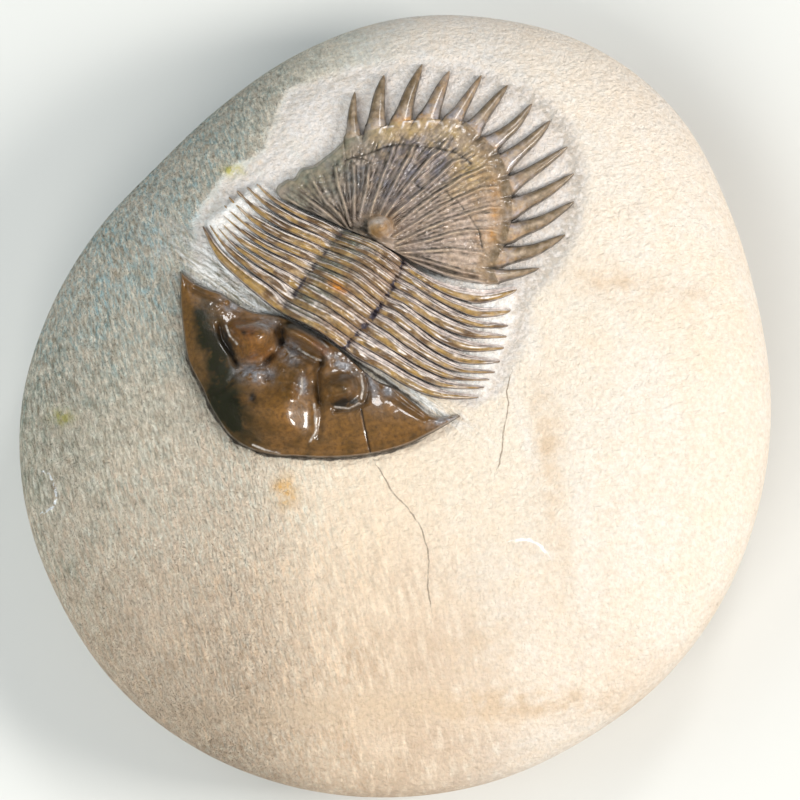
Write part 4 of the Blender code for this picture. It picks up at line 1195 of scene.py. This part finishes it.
def spine_surface(order, middle, tip_px, fan_points, fan_rise):
    """A spine: a blade along a smooth line through its root, middle and tip. Its half width falls
    fast from the notches and then evenly to the point, and its face is round across."""
    first = (BROKEN_SECTORS + order) * SECTOR_COLUMNS
    root = fan_points[first:first + SECTOR_COLUMNS + 1, -1]
    root_rise = fan_rise[first:first + SECTOR_COLUMNS + 1, -1]
    ends = np.array([root[0], root[-1]])
    out = np.linspace(0, 1, SPINE_ROWS + 1) ** 0.9
    line = along_curve(np.array([ends.mean(axis=0), middle, tip_px]), out * 2)
    run = line[-1] - line[0]
    side = np.array([-run[1], run[0]]) / np.hypot(*run)
    if (ends[1] - ends[0]) @ side < 0:
        side = -side
    root_half = np.hypot(*(ends[1] - ends[0])) / 2
    half = root_half * np.interp(out, SPINE_PLACES, SPINE_WIDTHS)
    lateral = np.linspace(-1, 1, SECTOR_COLUMNS + 1)[:, None]
    points = line[None] + (lateral * half[None])[..., None] * side
    joined = smooth_step(0, 0.06, out)[None, :, None]
    points = (root[:, None] + (line - line[0])[None]) * (1 - joined) + points * joined
    body = TAIL_MARGIN_RISE + (SPINE_TIP_RISE - TAIL_MARGIN_RISE) * out[None]
    keel = 0.08 * MM * (1 - np.abs(lateral)) * (1 - out[None])
    face = body * (0.35 + 0.65 * (1 - np.abs(lateral) ** 3)) + keel
    rise = root_rise[:, None] * (1 - joined[..., 0]) + face * joined[..., 0]
    px, py = points[..., 0], points[..., 1]
    marks = dict.fromkeys(("crack", "bead", "hole", "axis", "rosy", "honey"), 0.0) | {
        # Painted highlight along the spine's ridge.
        "crest": 0.5 * np.exp(-((lateral / 0.3) ** 2)) * (1 - out[None]),
        # Painted shade along the spine's edges.
        "furrow": 1.5 * smooth_step(0.72, 0.96, np.abs(lateral)) * joined[..., 0],
        "margin": 0.9,
        "green": 0.5 if order < 2 else 0.0,
        "orange": 0.15 + 0.7 * spots(px, py, (1, (407, 120), 12, 5), (1, (432, 114), 12, 5)),
        "dark": 0.7 * smooth_step(-0.1, -0.9, waves(px, py, 70 + order, 30, 3, 10)),
        "blue": np.exp(-(((out[None] - 0.22) / 0.2) ** 2)) * (1.0 if 2 < order < 8 else 0.5),
        "umber": (0.45 if order in (3, 4) else 0.95) * smooth_step(0.05, 0.40, out[None]),
    }
    return lay_on_stone(px, py, rise), marks


fan_points, fan_rise, fan_marks = fan_surface()
sheets = [(lay_on_stone(fan_points[..., 0], fan_points[..., 1], fan_rise), fan_marks)]
for order, (middle, tip_px) in enumerate(TAIL_SPINES_PX):
    sheets.append(spine_surface(order, middle, tip_px, fan_points, fan_rise))
tail = build_plate("pygidium_shell", sheets, "tail_shell", "pygidium")

TAIL_TAUPE = (0.45, 0.36, 0.32, 1.0)
TAIL_GOLD = (0.34, 0.205, 0.085, 1.0)
TAIL_ROSE = (0.62, 0.48, 0.40, 1.0)
TAIL_HONEY = (0.58, 0.40, 0.17, 1.0)
TAIL_GREEN = (0.19, 0.205, 0.16, 1.0)
TAIL_ORANGE = (0.60, 0.28, 0.06, 1.0)
TAIL_PALE_AND_HIGHLIGHT = (0.58, 0.45, 0.33, 1.0)
TAIL_DARK_AND_SHADE = (0.06, 0.05, 0.04, 1.0)
TAIL_INK = (0.22, 0.21, 0.25, 1.0)
TAIL_UMBER = (0.15, 0.098, 0.045, 1.0)
TAIL_BLUE = (0.36, 0.33, 0.35, 1.0)
TAIL_BROWN = (0.34, 0.19, 0.07, 1.0)

material, tree, shader = start_material("tail_calcite", 0.42, 0.6, 0.13)
colour = tint_all(
    tree, TAIL_TAUPE,
    (TAIL_GOLD, "margin", 300.0, 0.7),
    (TAIL_ROSE, "rosy", 400.0, 1.0),
    (TAIL_HONEY, "honey", 400.0, 1.0),
    (TAIL_INK, "dark", 600.0, 1.4),
    (TAIL_GREEN, "green", 300.0, 0.7),
    (TAIL_GOLD, 0.16, 420.0, 1.8),
    (TAIL_ORANGE, "orange", 700.0, 1.4),
    (TAIL_BLUE, "blue", 800.0, 1.8),
    (TAIL_UMBER, "umber", 700.0, 0.6),
    # Painted shade in the rib furrows, at the notches and along the spine edges.
    (TAIL_DARK_AND_SHADE, "furrow", 700.0, 0.8),
    # Painted highlight on the rib crests and spine ridges.
    (TAIL_PALE_AND_HIGHLIGHT, "crest", 600.0, 1.6),
    (TAIL_BROWN, "axis", 600.0, 0.8),
    (SHELL_DARK, "crack", 900.0, 0.8),
    # Painted highlight on the arcs and the knob's top.
    (THORAX_PALE, "bead", 900.0, 0.9),
    # Painted shadow round the knob.
    (SHELL_DARK, "hole", 900.0, 0.4),
    (TAIL_PALE_AND_HIGHLIGHT, 0.12, 1100.0, 2.0),
    (TAIL_DARK_AND_SHADE, 0.17, 1700.0, 1.8),
)
tree.links.new(colour, shader.inputs["Base Color"])
tree.links.new(grain_bump(tree, 1700.0, 0.9, 0.6, 0.0003), shader.inputs["Normal"])
tail.data.materials.append(material)


# The specimen lies on a plain pale floor under soft studio light. The main light comes from the
# right, as in the picture, with a cool fill on the left, and the camera looks down on the fossil.
FLOOR_SIZE = 4.0
FLOOR_COLOUR = (0.62, 0.62, 0.60, 1.0)
WARM_LIGHT = (1.0, 0.97, 0.92)
COOL_LIGHT = (0.80, 0.94, 1.0)
STUDIO_COLOUR = (0.9, 0.95, 1.0, 1.0)
STUDIO_STRENGTH = 0.22
CAMERA_LENS = 300.0
SENSOR_WIDTH = 36.0
FRAME_PX = 800.0
CAMERA_REACH = 10.0
bpy.ops.mesh.primitive_plane_add(size=FLOOR_SIZE)
floor = bpy.context.object
floor.name = "floor"
material, tree, shader = start_material("pale_floor", 0.9)
shader.inputs["Base Color"].default_value = FLOOR_COLOUR
floor.data.materials.append(material)
floor.visible_glossy = False


def area_light(name, place_at, size, power, colour_now, mirrored=True):
    """A square soft light at a place, turned to the stone. Polished shell mirrors it or doesn't."""
    lamp = bpy.data.lights.new(name, "AREA")
    lamp.size = size
    lamp.energy = power
    lamp.color = colour_now
    light = bpy.data.objects.new(name, lamp)
    light.location = place_at
    light.visible_glossy = mirrored
    bpy.context.collection.objects.link(light)
    aim = stone.location - light.location
    light.rotation_euler = aim.to_track_quat("-Z", "Y").to_euler()


area_light("key", (0.62, -0.05, 0.42), 0.24, 5.4, WARM_LIGHT)
area_light("fill", (-0.55, 0.05, 0.42), 0.60, 2.8, COOL_LIGHT, False)
area_light("front", (-0.20, -0.46, 0.60), 0.50, 4.1, WARM_LIGHT, False)
area_light("accent", (0.22, 0.60, 0.60), 0.16, 1.5, EVEN)
world = bpy.data.worlds.new("studio")
world.use_nodes = True
background = world.node_tree.nodes["Background"]
background.inputs["Color"].default_value = STUDIO_COLOUR
background.inputs["Strength"].default_value = STUDIO_STRENGTH
world.cycles_visibility.glossy = False
bpy.context.scene.world = world

camera_data = bpy.data.cameras.new("camera")
camera_data.lens = CAMERA_LENS
camera_data.sensor_width = SENSOR_WIDTH
camera_data.clip_end = CAMERA_REACH
camera = bpy.data.objects.new("camera", camera_data)
bpy.context.collection.objects.link(camera)
bpy.context.scene.camera = camera
distance = FRAME_PX * PICTURE_SCALE * CAMERA_LENS / SENSOR_WIDTH
aim_x = (FRAME_PX / 2 - MIDDLE_PX[0]) * PICTURE_SCALE - STONE_MIDDLE[0]
aim_y = -(FRAME_PX / 2 - MIDDLE_PX[1]) * PICTURE_SCALE / math.cos(VIEW_TILT) - STONE_MIDDLE[1]
camera.location = (
    aim_x,
    aim_y - distance * math.sin(VIEW_TILT),
    EDGE_HEIGHT + distance * math.cos(VIEW_TILT),
)
camera.rotation_euler = (VIEW_TILT, 0.0, 0.0)
bpy.context.scene.view_settings.view_transform = "Standard"
